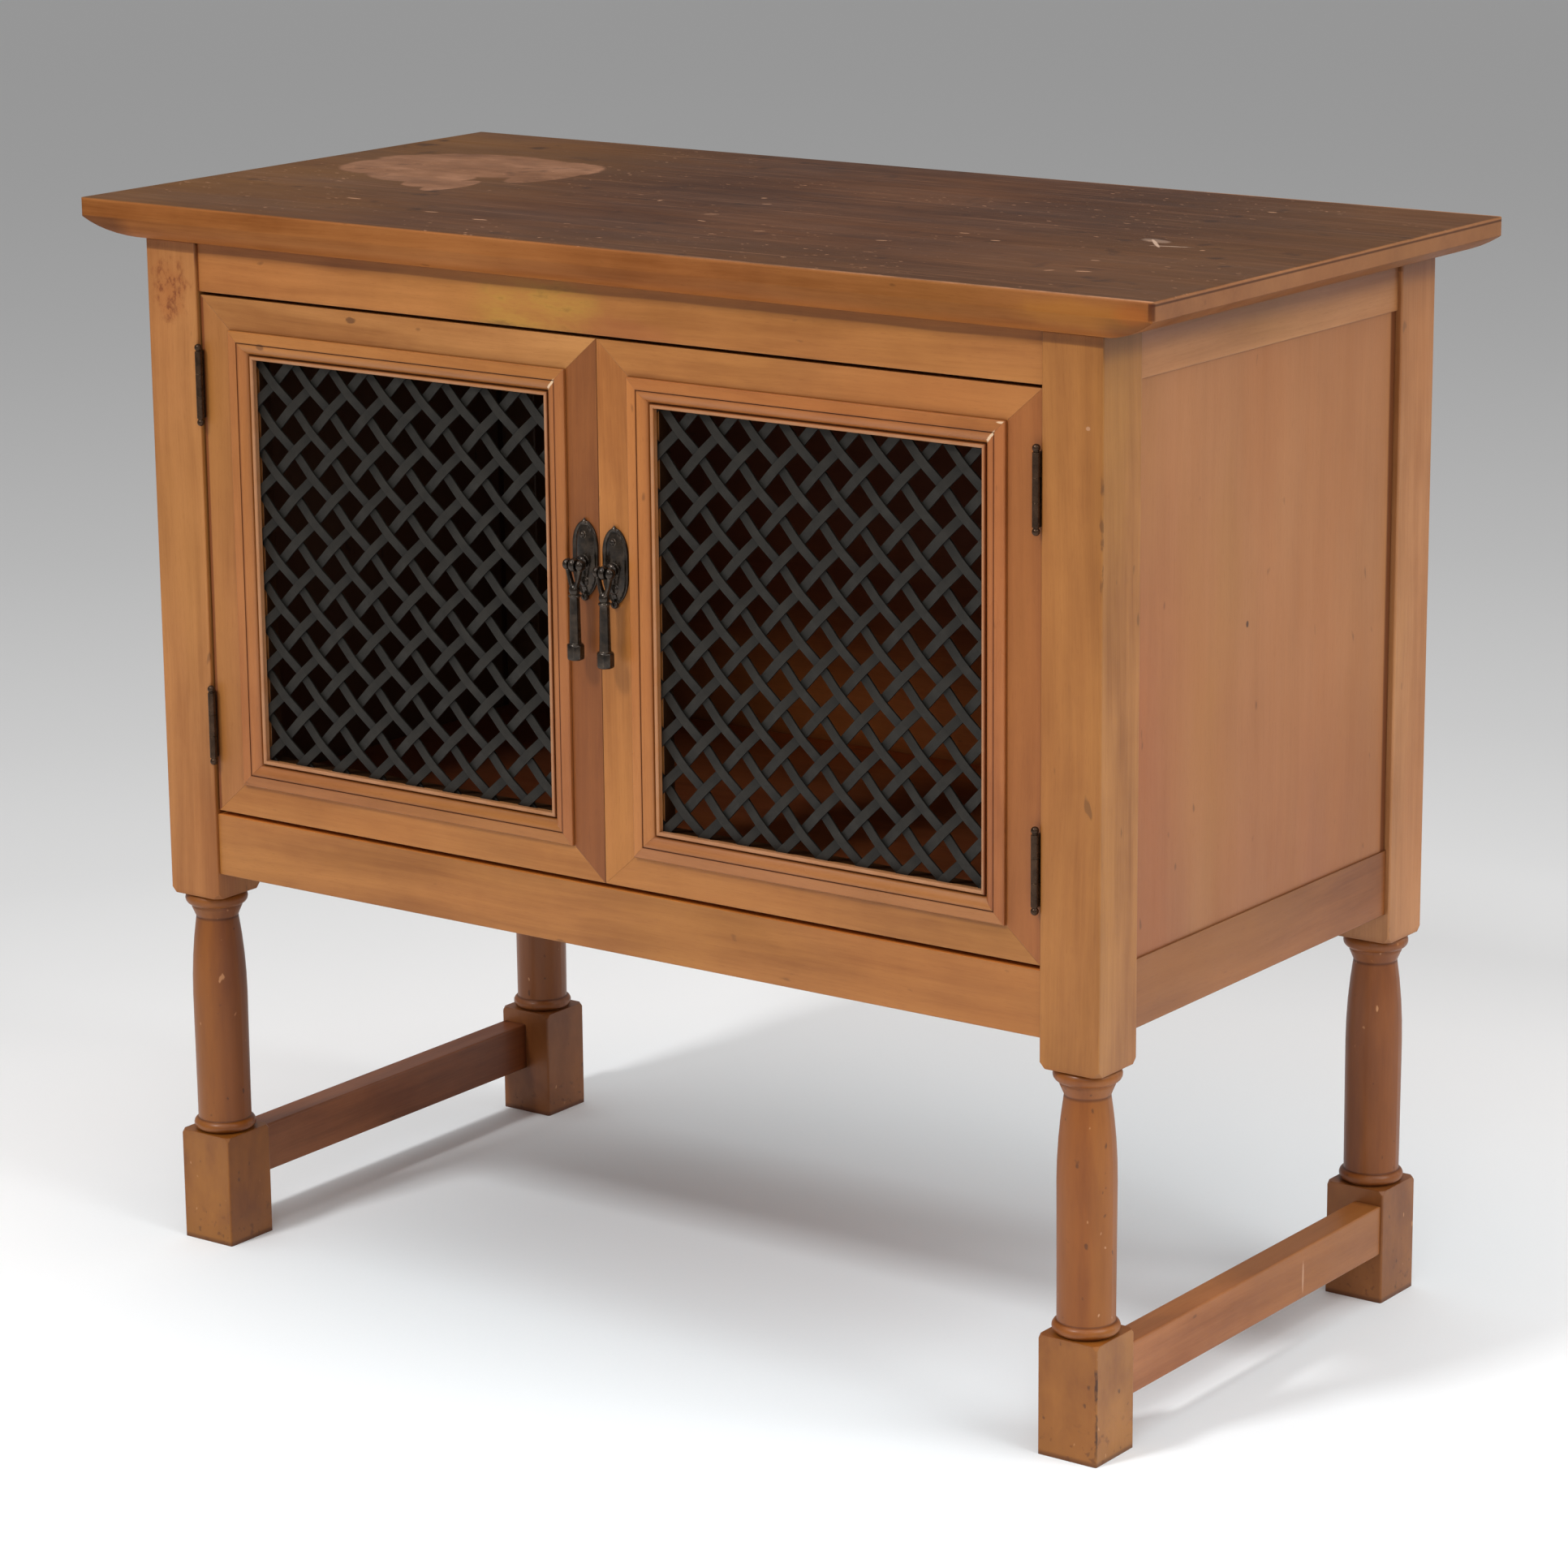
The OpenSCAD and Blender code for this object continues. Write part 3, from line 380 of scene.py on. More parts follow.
    # sides of the edge: greyer and pinker at the right end, with a painted shadow line under its arris
    col = g.mix(g.math("MULTIPLY", g.range(nrm[1], -0.3, -0.7), g.range(s[0], -0.35, 0.40)), col, (0.88, 0.88, 0.98), "MULTIPLY")
    col = g.mix(g.range(nrm[1], -0.3, -0.7), col, (0.78, 0.75, 0.78), "MULTIPLY")
    endr = g.range(nrm[0], 0.45, 0.8)
    endl = g.range(nrm[0], -0.45, -0.8)
    col = g.mix(g.math("MULTIPLY", endr, 0.7), col, tim((128, 94, 78))[:3])
    col = g.mix(g.math("MULTIPLY", endl, 0.5), col, tim((150, 100, 72))[:3])
    # painted shadow: a dark line just under the arris at the right end
    d = g.math("ABSOLUTE", g.math("SUBTRACT", s[2], 0.7757))
    line = g.math("MULTIPLY", g.range(d, 0.0010, 0.0004), g.range(s[0], 0.446, 0.449))
    col = g.mix(g.math("MULTIPLY", line, 0.75), col, lin((62, 36, 26))[:3])
    # painted shade: the undercut is darkened and tinted purple-grey where it overhangs the case at the ends
    shade = g.math("MULTIPLY", g.range(nrm[2], -0.10, -0.30), g.range(g.math("ABSOLUTE", s[0]), 0.4040, 0.4200))
    col = g.mix(shade, col, (0.62, 0.62, 0.78), "MULTIPLY")
    # painted shade: the downward facing part of the undercut is darkened all along
    under = g.math("MULTIPLY", g.range(nrm[2], -0.6, -0.95), 0.55)
    col = g.mix(under, col, mul(b, (0.52, 0.46, 0.42)))
    # painted light: the lower part of the front face of the moulded edge is lightened
    cove_painted_light = g.math("MULTIPLY", g.range(s[2], 0.7610, 0.7530, 0.0, 1.0, True), g.range(s[1], -0.2045, -0.2075))
    col = g.mix(cove_painted_light, col, (1.3, 1.28, 1.25), "MULTIPLY")
    # a dark join at the right end of the front edge
    join = g.math("MULTIPLY", g.range(s[0], 0.4458, 0.4466), g.range(s[1], -0.2215, -0.2230))
    join = g.math("MULTIPLY", join, g.math("MULTIPLY", g.range(s[2], 0.7655, 0.7665), g.range(s[2], 0.7772, 0.7764)))
    col = g.mix(g.math("MULTIPLY", join, 0.8), col, lin((74, 38, 22))[:3])
    # yellow figure and a reddish cloud near the right end of the front edge
    col = g.mix(g.math("MULTIPLY", g.blob((0.395, -0.2245, 0.765), (0.045, 0.02, 0.009), rag=0.4, rag_scale=60, soft=0.5), 0.3), col, tim((180, 122, 50))[:3])
    col = g.mix(g.math("MULTIPLY", g.blob((0.434, -0.2245, 0.768), (0.012, 0.02, 0.006), rag=0.3, rag_scale=90, soft=0.5), 0.3), col, tim((166, 92, 44))[:3])
    return g.mix(up, col, dark)


# ------------------------------------------------------------------ posts, legs and feet

def leg_tweak(leg, foot):
    """The turned part and the foot block are darker and knocked about."""
    def t(g, col, cw, b):
        s = g.sep(g.co)
        low = g.range(s[2], 0.272, 0.262, 0.0, 1.0, True)
        blk = g.range(s[2], 0.086, 0.082, 0.0, 1.0)
        n = g.noise(g.map((1, 2, 3), scale=(60, 60, 9)), 1.0, 4.0, 0.6)
        patch = g.noise(g.map((4, 2, 6), scale=(26, 26, 15)), 1.0, 4.0, 0.6)
        shade = g.ramp(n, [(0.28, mul(tim(leg), (0.72, 0.62, 0.52))), (0.5, tim(leg)[:3]), (0.74, mul(tim(leg), (1.18, 1.22, 1.26)))])
        block = g.ramp(patch, [(0.32, mul(tim(foot), (0.64, 0.52, 0.42))), (0.5, tim(foot)[:3]), (0.68, mul(tim(foot), (1.28, 1.36, 1.44)))])
        col = g.mix(g.math("MULTIPLY", low, 0.85), col, g.mix(blk, shade, block))
        dent = g.noise(g.map((7, 2, 5), scale=(170, 170, 110)), 1.0, 1.0, 0.5)
        col = g.mix(g.math("MULTIPLY", low, g.range(dent, 0.752, 0.795, 0.0, 0.7)), col, lin((200, 146, 100))[:3])
        col = g.mix(g.math("MULTIPLY", low, g.range(dent, 0.27, 0.22, 0.0, 0.6)), col, DARKSPOT)
        # dark rings of old polish in the turned quirks
        for z, h in ((0.2480, 0.0016), (0.0855, 0.0016), (0.0930, 0.0010)):
            d = g.math("ABSOLUTE", g.math("SUBTRACT", s[2], z))
            col = g.mix(g.range(d, h, h * 0.3, 0.0, 0.55), col, mul(tim(leg), (0.34, 0.26, 0.20)))
        # scuffed, greyish bottom of the block
        scuff = g.math("ADD", s[2], g.math("MULTIPLY", g.math("SUBTRACT", patch, 0.5), 0.05))
        col = g.mix(g.range(scuff, 0.018, 0.006, 0.0, 0.62), col, mul(tim(foot), (1.12, 1.22, 1.35)))
        speck = g.noise(g.map((3, 8, 5), scale=(170, 170, 170)), 1.0, 2.0, 0.5)
        near = g.range(s[2], 0.034, 0.010)
        # a dark band at the very foot of the block: worn edge and painted contact shadow
        col = g.mix(g.range(s[2], 0.0040, 0.0015, 0.0, 0.7), col, mul(tim(foot), (0.34, 0.26, 0.20)))
        return g.mix(g.math("MULTIPLY", near, g.range(speck, 0.60, 0.70, 0.0, 0.6)), col, mul(tim(foot), (0.42, 0.34, 0.28)))
    return t


def arris(x, y, z0, z1, w=0.0022, amount=0.75, scale=90.0):
    """A dark, broken line of knocks down one vertical arris."""
    def t(g, col, cw, b):
        s = g.sep(g.co)
        dx = g.math("SUBTRACT", s[0], x)
        dy = g.math("SUBTRACT", s[1], y)
        r = g.math("SQRT", g.math("ADD", g.math("MULTIPLY", dx, dx), g.math("MULTIPLY", dy, dy)))
        n = g.noise(g.map((x * 9, 2, 4), scale=(scale * 2, scale * 2, scale)), 1.0, 3.0, 0.6)
        near = g.range(g.math("SUBTRACT", r, g.math("MULTIPLY", g.math("SUBTRACT", n, 0.5), w * 3)), w, w * 0.5)
        zz = g.math("MULTIPLY", g.range(s[2], z0, z0 + 0.01), g.range(s[2], z1, z1 - 0.01))
        m = g.math("MULTIPLY", g.math("MULTIPLY", near, zz), g.range(n, 0.44, 0.56, 0.0, amount))
        return g.mix(m, col, DARKSPOT)
    return t


def knot_tweak(g, col, cw, b):
    """A reddish knot with swirled grain high on the left front post."""
    s = g.sep(g.co)
    dx = g.math("DIVIDE", g.math("SUBTRACT", s[0], -0.3805), 0.0150)
    dz = g.math("DIVIDE", g.math("SUBTRACT", s[2], 0.7150), 0.0225)
    wobble = g.noise(g.map((3, 3, 3), scale=(62, 62, 62)), 1.0, 5.0, 0.65)
    fine = g.noise(g.map((7, 1, 3), scale=(190, 190, 120)), 1.0, 4.0, 0.65)
    r = g.math("ADD", g.math("SQRT", g.math("ADD", g.math("MULTIPLY", dx, dx), g.math("MULTIPLY", dz, dz))), g.math("MULTIPLY", g.math("SUBTRACT", wobble, 0.5), 2.6))
    col = g.mix(g.range(r, 1.3, 0.3, 0.0, 0.6, True), col, tim((160, 96, 50))[:3])
    return g.mix(g.math("MULTIPLY", g.range(r, 1.25, 0.5), g.range(fine, 0.48, 0.62, 0.0, 0.85)), col, tim((116, 58, 24))[:3])


def inside(g, col, cw, b):
    """Painted shade: faces that look into the cabinet are darkened to nearly black and cooled."""
    s = g.sep(g.co)
    m = g.math("MULTIPLY", g.range(g.math("ABSOLUTE", s[0]), 0.3910, 0.3898), g.range(s[2], 0.2880, 0.2895))
    m = g.math("MULTIPLY", m, g.math("MULTIPLY", g.range(s[1], -0.1815, -0.1800), g.range(s[1], 0.2020, 0.2012)))
    return g.mix(m, col, (0.23, 0.30, 0.50), "MULTIPLY")


def overhang_painted_shadow(g, col, cw, b):
    """Painted shadow under the overhang of the top: a narrow band in front, lightened again towards its upper edge, and
    a wider, softer purple-grey band at the ends.
    """
    s = g.sep(g.co)
    n = g.sep(g.tc.outputs["Normal"])
    wave = g.noise(g.map((4, 1, 7), scale=(9, 9, 9)), 1.0, 2.0, 0.5)
    z = g.math("ADD", s[2], g.math("MULTIPLY", g.math("SUBTRACT", wave, 0.5), 0.003))
    face = g.range(n[1], -0.5, -0.8)
    col = g.mix(g.math("MULTIPLY", g.range(z, 0.7424, 0.7434), face), col, (0.62, 0.57, 0.57), "MULTIPLY")
    col = g.mix(g.math("MULTIPLY", g.range(z, 0.7450, 0.7490), face), col, (1.3, 1.3, 1.3), "MULTIPLY")
    e = g.math("MULTIPLY", g.range(z, 0.7290, 0.7430, 0.0, 1.0, True), g.range(g.math("ABSOLUTE", n[0]), 0.5, 0.8))
    return g.mix(e, col, (0.60, 0.59, 0.76), "MULTIPLY")


def streak(test, amount=0.8, c=(104, 46, 16)):
    """A dark line painted along one edge of a member, standing in for the shade in the gap beside it; test is (axis,
    from, full).
    """
    def t(g, col, cw, b):
        v = g.sep(g.co)[AX[test[0]]]
        return g.mix(g.range(v, test[1], test[2], 0.0, amount), col, tim(c)[:3])
    return t


def right_face_sheen(k):
    """Painted sheen: the faces towards the right are made greyer and bluer than the front ones."""
    def t(g, col, cw, b):
        n = g.sep(g.tc.outputs["Normal"])[0]
        return g.mix(g.range(n, 0.5, 0.8), col, k, "MULTIPLY")
    return t


def rail_tweak(g, col, cw, b):
    """Greenish yellow figure in the top rail with a swirl of grain round it."""
    n = g.noise(g.map((3, 1, 3), scale=(26, 70, 80), src=cw), 1.0, 5.0, 0.65)
    m = g.blob((-0.050, -0.2045, 0.7290), (0.052, 0.05, 0.018), rag=0.45, rag_scale=38.0, soft=0.4)
    col = g.mix(g.math("MULTIPLY", m, g.range(n, 0.34, 0.54, 0.15, 0.95)), col, tim((178, 134, 62))[:3])
    col = g.mix(g.math("MULTIPLY", m, g.range(n, 0.50, 0.64, 0.0, 0.75)), col, tim((124, 84, 40))[:3])
    m2 = g.blob((0.012, -0.2045, 0.7180), (0.05, 0.05, 0.010), rag=0.5, rag_scale=40.0, soft=0.5)
    return g.mix(g.math("MULTIPLY", m2, 0.4), col, tim((150, 84, 52))[:3])


def foot_side_painted_shade(g, col, cw, b):
    """Painted shade: the inner side of the left front foot and leg is darkened and browned, as the case shades it."""
    s = g.sep(g.co)
    n = g.sep(g.tc.outputs["Normal"])[0]
    m = g.math("MULTIPLY", g.range(s[2], 0.27, 0.26), g.range(n, 0.3, 0.9))
    return g.mix(m, col, (0.74, 0.66, 0.58), "MULTIPLY")


def rail_top_painted_light(g, col, cw, b):
    """Painted light: the upper face of the bottom rail, in the gap under the doors, is lightened."""
    n = g.sep(g.tc.outputs["Normal"])[2]
    m = g.math("MULTIPLY", g.range(n, 0.5, 0.9), g.range(g.sep(g.co)[1], -0.186, -0.190))
    return g.mix(m, col, (1.9, 1.7, 1.5), "MULTIPLY")


assign(N["top_board"], wood("wood_top", "x", tim((163, 106, 58)), 1.0, 1.15, rough=0.52, coat=0.0, spec=0.10, dirt_shade=0.3, worn=0.15, tweak=top_tweak))
assign(N["front_left_post"], wood("wood_post_fl", "z", tim((167, 112, 65)), 2.0, 1.0, dirt_shade=0.45, tweak=both(
    knot_tweak, leg_tweak((127, 71, 12), (140, 87, 27)), inside, overhang_painted_shadow, foot_side_painted_shade)))
assign(N["front_right_post"], wood("wood_post_fr", "z", tim((157, 103, 52)), 3.0, 1.0, dirt_shade=0.45, tweak=both(
    leg_tweak((136, 76, 24), (142, 88, 37)), inside, right_face_sheen((1.10, 1.22, 1.52)), overhang_painted_shadow, arris(0.4035, -0.2075, 0.585, 0.665, 0.0016, 0.5), arris(0.4035, -0.2075, 0.004, 0.082, 0.0016, 0.9, 60.0),
    mark((PALE, 0.35, (0.3923, -0.2075, 0.6915), (0.0015, 0.01, 0.0013), dict(rag=0.3, rag_scale=300))))))
assign(N["rear_left_post"], wood("wood_post_rl", "z", tim((158, 102, 60)), 4.0, 1.0, dirt_shade=0.45, tweak=both(leg_tweak((126, 74, 36), (120, 72, 38)), inside, overhang_painted_shadow)))
assign(N["rear_right_post"], wood("wood_post_rr", "z", tim((170, 120, 82)), 5.0, 1.0, dirt_shade=0.45, tweak=both(leg_tweak((122, 65, 18), (132, 80, 38)), inside, overhang_painted_shadow)))
assign(N["left_stretcher"], wood("wood_str_l", "y", tim((134, 80, 48)), 6.0, 1.25, tweak=lambda g, col, cw, b: g.mix(
    g.range(g.sep(g.co)[1], -0.06, 0.16, 0.0, 1.0, True), col, (0.74, 0.66, 0.60), "MULTIPLY")))
assign(N["right_stretcher"], wood("wood_str_r", "y", tim((156, 98, 58)), 7.0, 1.1, tweak=mark(
    (PALE, 0.5, (0.404, 0.062, 0.052), (0.01, 0.0012, 0.012), dict(rag=0.3, rag_scale=200)))))
assign(N["front_top_rail"], wood("wood_rail_t", "x", tim((170, 112, 62)), 8.0, 1.0, tweak=both(rail_tweak, overhang_painted_shadow, streak(("x", -0.3558, -0.3566))), dirt_shade=0.45))
assign(N["front_bottom_rail"], wood("wood_rail_b", "x", tim((163, 107, 56)), 9.0, 1.0, dirt_shade=0.12, tweak=rail_top_painted_light))
SIDE = tim((168, 114, 76))


def rear_rail_painted_light(g, col, cw, b):
    """Painted light: the inner face of the rear rail is warmed and lightened low down, where light falls in through the
    lattice.
    """
    m = g.math("MULTIPLY", g.blob((-0.03, 0.200, 0.345), (0.17, 0.10, 0.040), rag=0.25, rag_scale=14.0, soft=0.7), g.range(g.sep(g.co)[1], 0.2020, 0.2012))
    return g.mix(m, col, (2.6, 1.7, 1.2), "MULTIPLY")


for i, n in enumerate(("rear_top_rail", "rear_bottom_rail", "left_top_rail", "left_bottom_rail", "right_top_rail", "right_bottom_rail")):
    tone = tim((170, 120, 82)) if n == "right_top_rail" else tim((139, 87, 49)) if n == "right_bottom_rail" else SIDE
    assign(N[n], wood("wood_" + n, "x" if n.startswith("rear") else "y", tone, 10.0 + i, 0.9, dirt_shade=0.6,
                      tweak=both(inside, overhang_painted_shadow, rear_rail_painted_light) if n == "rear_bottom_rail" else both(inside, overhang_painted_shadow)))


def panel_tweak(sx):
    def t(g, col, cw, b):
        s = g.sep(g.co)
        # the lower front part of the panel is redder
        k = g.math("ADD", g.math("MULTIPLY", g.range(s[2], 0.70, 0.36), 0.6), g.math("MULTIPLY", g.range(s[1], 0.17, -0.15), 0.5))
        n = g.noise(g.map((3, 3, 3), scale=(9, 9, 3.5)), 1.0, 3.0, 0.5)
        m = g.math("MULTIPLY", g.range(k, 0.35, 0.95, 0.0, 0.8, True), g.range(n, 0.32, 0.62, 0.25, 1.0))
        col = g.mix(m, col, (0.97, 0.79, 0.76), "MULTIPLY")
        col = g.mix(g.range(s[2], 0.50, 0.33), col, (0.86, 0.83, 0.80), "MULTIPLY")
        # painted shade, with some grime, in the recesses where the panel meets the posts
        rear = g.range(s[1], 0.1632, 0.1655, 0.0, 0.85)
        frnt = g.range(s[1], -0.1600, -0.1612, 0.0, 0.5)
        col = g.mix(g.math("MAXIMUM", rear, frnt), col, mul(b, (0.26, 0.15, 0.10)))
        return g.mix(g.math("MULTIPLY", g.blob((0.3985 * sx, -0.0206, 0.5329), (0.01, 0.0016, 0.0022), rag=0.3, rag_scale=400), 0.85), col, DARKSPOT)
    return t


assign(N["left_side_panel"], wood("wood_panel_l", "z", SIDE, 20.0, 0.36, figure=0.4, dirt_shade=0.6, tweak=both(panel_tweak(-1), inside)))
assign(N["right_side_panel"], wood("wood_panel_r", "z", tim((163, 112, 75)), 21.0, 0.36, figure=0.4, dirt_shade=0.6, tweak=both(panel_tweak(1), inside)))
INNER = tim((128, 68, 36))


def back_painted_light(g, col, cw, b):
    """Painted light: low at the back the panel is lightened to a warm orange brown, where light falls in through the
    lattice.
    """
    m = g.math("MULTIPLY", g.blob((-0.03, 0.205, 0.362), (0.17, 0.10, 0.058), rag=0.25, rag_scale=14.0, soft=0.7), g.range(g.sep(g.co)[1], 0.10, 0.18))
    return g.mix(m, col, (3.4, 4.2, 4.4), "MULTIPLY")


def inner_tweak(g, col, cw, b):
    """Painted shade: darker towards the top and the left end of the cabinet."""
    s = g.sep(g.co)
    n = g.noise(g.map((2, 6, 3), scale=(5, 5, 7)), 1.0, 3.0, 0.6)
    k = g.math("ADD", g.math("MULTIPLY", g.range(s[2], 0.44, 0.60), 0.8), g.math("MULTIPLY", g.range(s[0], -0.12, -0.26), 0.7))
    k = g.math("ADD", k, g.math("MULTIPLY", g.math("SUBTRACT", n, 0.5), 0.5), clamp=True)
    shaded_inner = g.mix(g.math("MULTIPLY", k, 0.72), col, mul(b, (0.20, 0.17, 0.16)))
    shaded_inner = back_painted_light(g, shaded_inner, cw, b)
    out = g.math("MULTIPLY", g.range(s[1], 0.2085, 0.2095), g.range(g.sep(g.tc.outputs["Normal"])[1], 0.3, 0.8))
    return g.mix(out, shaded_inner, g.mix(1.0, col, (1.25, 1.95, 2.6), "MULTIPLY"))


for i, n in enumerate(("back_panel", "bottom_board", "top_buttons", "door_stop")):
    assign(N[n], wood("wood_" + n, "x", INNER, 24.0 + i, 0.8, rough=0.6, dirt_shade=0.5, coat=0.0, tweak=inner_tweak))

# ------------------------------------------------------------------ doors

CHIP = lin((240, 206, 168))[:3]


def reveal_painted_shade(sx):
    """Painted shade: the inner edges behind the lattice are made nearly black, so that they do not show through it."""
    def t(g, col, cw, b):
        s = g.sep(g.co)
        n = g.math("ABSOLUTE", g.sep(g.tc.outputs["Normal"])[1])
        ax = g.math("ABSOLUTE", g.math("SUBTRACT", s[0], sx * 0.178))
        az = g.math("ABSOLUTE", g.math("SUBTRACT", s[2], 0.52425))
        m = g.math("MULTIPLY", g.range(ax, 0.1530, 0.1520), g.range(az, 0.1670, 0.1660))
        m = g.math("MULTIPLY", m, g.range(n, 0.7, 0.4))
        return g.mix(g.math("MULTIPLY", m, 0.93), col, lin((20, 12, 8))[:3])
    return t


def chip(corner, sx, lo=0.0080, hi=0.0148, w=0.0010):
    """Pale chipped line on a mitre between two mouldings; corner is the outer one, sx the way inwards."""
    def t(g, col, cw, b):
        s = g.sep(g.co)
        u = g.math("MULTIPLY", g.math("SUBTRACT", s[0], corner[0]), sx)
        v = g.math("SUBTRACT", corner[1], s[2])
        d = g.math("ABSOLUTE", g.math("SUBTRACT", u, v))
        k = g.noise(g.map((5, 1, 2), scale=(500, 500, 500)), 1.0, 2.0, 0.6)
        a = g.math("ADD", u, g.math("MULTIPLY", g.math("SUBTRACT", k, 0.5), 0.003))
        m = g.math("MULTIPLY", g.range(a, lo - 0.0006, lo + 0.0006), g.range(a, hi + 0.0006, hi - 0.0006))
        d = g.math("ADD", d, g.math("MULTIPLY", g.math("SUBTRACT", k, 0.5), 0.0012))
        m = g.math("MULTIPLY", m, g.range(d, w * 1.6, w * 0.7, 0.0, 0.95))
        return g.mix(m, col, CHIP)
    return t


def sight(sx):
    """Pale bead along the opening, partly rubbed and partly a painted highlight; dark lines in the quirks on either
    side of the quarter round.
    """
    def t(g, col, cw, b):
        s = g.sep(g.co)
        u = g.math("SUBTRACT", 0.15135, g.math("ABSOLUTE", g.math("SUBTRACT", s[0], sx * 0.17785)))
        v = g.math("SUBTRACT", 0.16575, g.math("ABSOLUTE", g.math("SUBTRACT", s[2], 0.52425)))
        d = g.math("MINIMUM", u, v)
        n = g.noise(g.map((3, 5, 1), scale=(40, 40, 40)), 1.0, 3.0, 0.6)
        bead = g.math("MULTIPLY", g.range(d, 0.0172, 0.0178), g.range(d, 0.0203, 0.0199))
        col = g.mix(g.math("MULTIPLY", bead, g.range(n, 0.35, 0.6, 0.45, 0.85)), col, tim((176, 130, 102))[:3])
        for c, w, k in ((0.0083, 0.0013, 0.50), (0.0167, 0.0011, 0.56)):
            q = g.math("ABSOLUTE", g.math("SUBTRACT", d, c))
            col = g.mix(g.range(q, w, w * 0.2, 0.0, k), col, mul(b, (0.40, 0.26, 0.17)))
        return col
    return t
DOOR = {
    "left_door_hinge_stile": ("z", (162, 106, 61), streak(("x", -0.3532, -0.3540), 0.75)),
    "left_door_meeting_stile": ("z", (133, 79, 38), None),
    "left_door_top_rail": ("x", (170, 117, 68), mark((DARKSPOT, 0.6, (-0.2161, -0.204, 0.7065), (0.004, 0.01, 0.0022), dict(rag=0.5, rag_scale=220)))),
    "left_door_bottom_rail": ("x", (171, 115, 62), None),
    "right_door_hinge_stile": ("z", (150, 90, 46), None),
    "right_door_meeting_stile": ("z", (172, 112, 60), None),
    "right_door_top_rail": ("x", (168, 111, 61), None),
    "right_door_bottom_rail": ("x", (163, 108, 57), None),
    "left_door_hinge_side_moulding": ("z", (164, 104, 60), None),
    "left_door_meeting_side_moulding": ("z", (156, 96, 54), chip((-0.0267, 0.690), -1)),
    "left_door_top_moulding": ("x", (162, 106, 56), both(mark(
        (DARKSPOT, 0.5, (-0.2989, -0.206, 0.6806), (0.0035, 0.01, 0.0022), dict(rag=0.5, rag_scale=220))), chip((-0.0267, 0.690), -1))),
    "left_door_bottom_moulding": ("x", (161, 104, 64), None),
    "right_door_hinge_side_moulding": ("z", (162, 98, 54), chip((0.3295, 0.690), -1)),
    "right_door_meeting_side_moulding": ("z", (172, 112, 62), None),
    "right_door_top_moulding": ("x", (166, 106, 58), both(chip((0.3295, 0.690), -1), mark(
        (CHIP, 0.7, (0.3268, -0.207, 0.6888), (0.0034, 0.01, 0.0007), dict(rag=0.4, rag_scale=260))))),
    "right_door_bottom_moulding": ("x", (160, 104, 68), None),
}
for i, (n, (ax, c, tw)) in enumerate(DOOR.items()):
    m = "moulding" in n
    sx = -1 if n.startswith("left") else 1
    parts = ([sight(sx)] if m else [reveal_painted_shade(sx)]) + ([tw] if tw else [])
    assign(N[n], wood("wood_" + n, ax, tim(c), 40.0 + i * 1.3, 0.9 if m else 1.0, worn=1.0 if m else 0.8, dirt_shade=0.7 if m else 0.15 if "bottom" in n else 0.5,
                      rough=0.30 if m else 0.40, bev_r=0.0007 if m else 0.0011, tweak=both(*parts), ao_d=0.004 if m else 0.006))

# ------------------------------------------------------------------ metal

lattice = metal("lattice_iron", (0.0192, 0.0166, 0.0130), 0.52, 0.10, (0.050, 0.044, 0.037), 1.0, 0.25, 0.0005, 0.5, spec=0.28, grain=90.0, dust_shade=0.8,
                vary=(0.8, 1.25), shaded_sides=0.30, dust_shade_dist=0.005)
for n in N:
    if n.endswith("_strips"):
        assign(N[n], lattice)
hinge = metal("hinge_bronze", (0.050, 0.027, 0.015), 0.30, 0.75, (0.30, 0.18, 0.10), 2.0, 0.12, dust_shade=0.8, spec=0.4)
pull = metal("pull_bronze", (0.033, 0.022, 0.014), 0.17, 0.66, (0.50, 0.40, 0.30), 3.0, 0.15, 0.0005, 0.75, grain=170.0, dust_shade=0.9, vary=(0.45, 1.6), spec=0.35, lacquer=0.3)
steel = metal("bright_steel", (0.42, 0.41, 0.39), 0.34, 0.95, (0.7, 0.69, 0.66), 4.0)
for n in N:
    if "hinge_case_leaves" in n or "hinge_door_leaves" in n or "hinge_pins" in n:
        assign(N[n], hinge)
    elif "_pull_" in n:
        assign(N[n], pull)
    elif "screws" in n or "strike_plate" in n or "magnets" in n:
        assign(N[n], steel)

# ------------------------------------------------------------------ drop pulls, in millimetres round the plate's centre


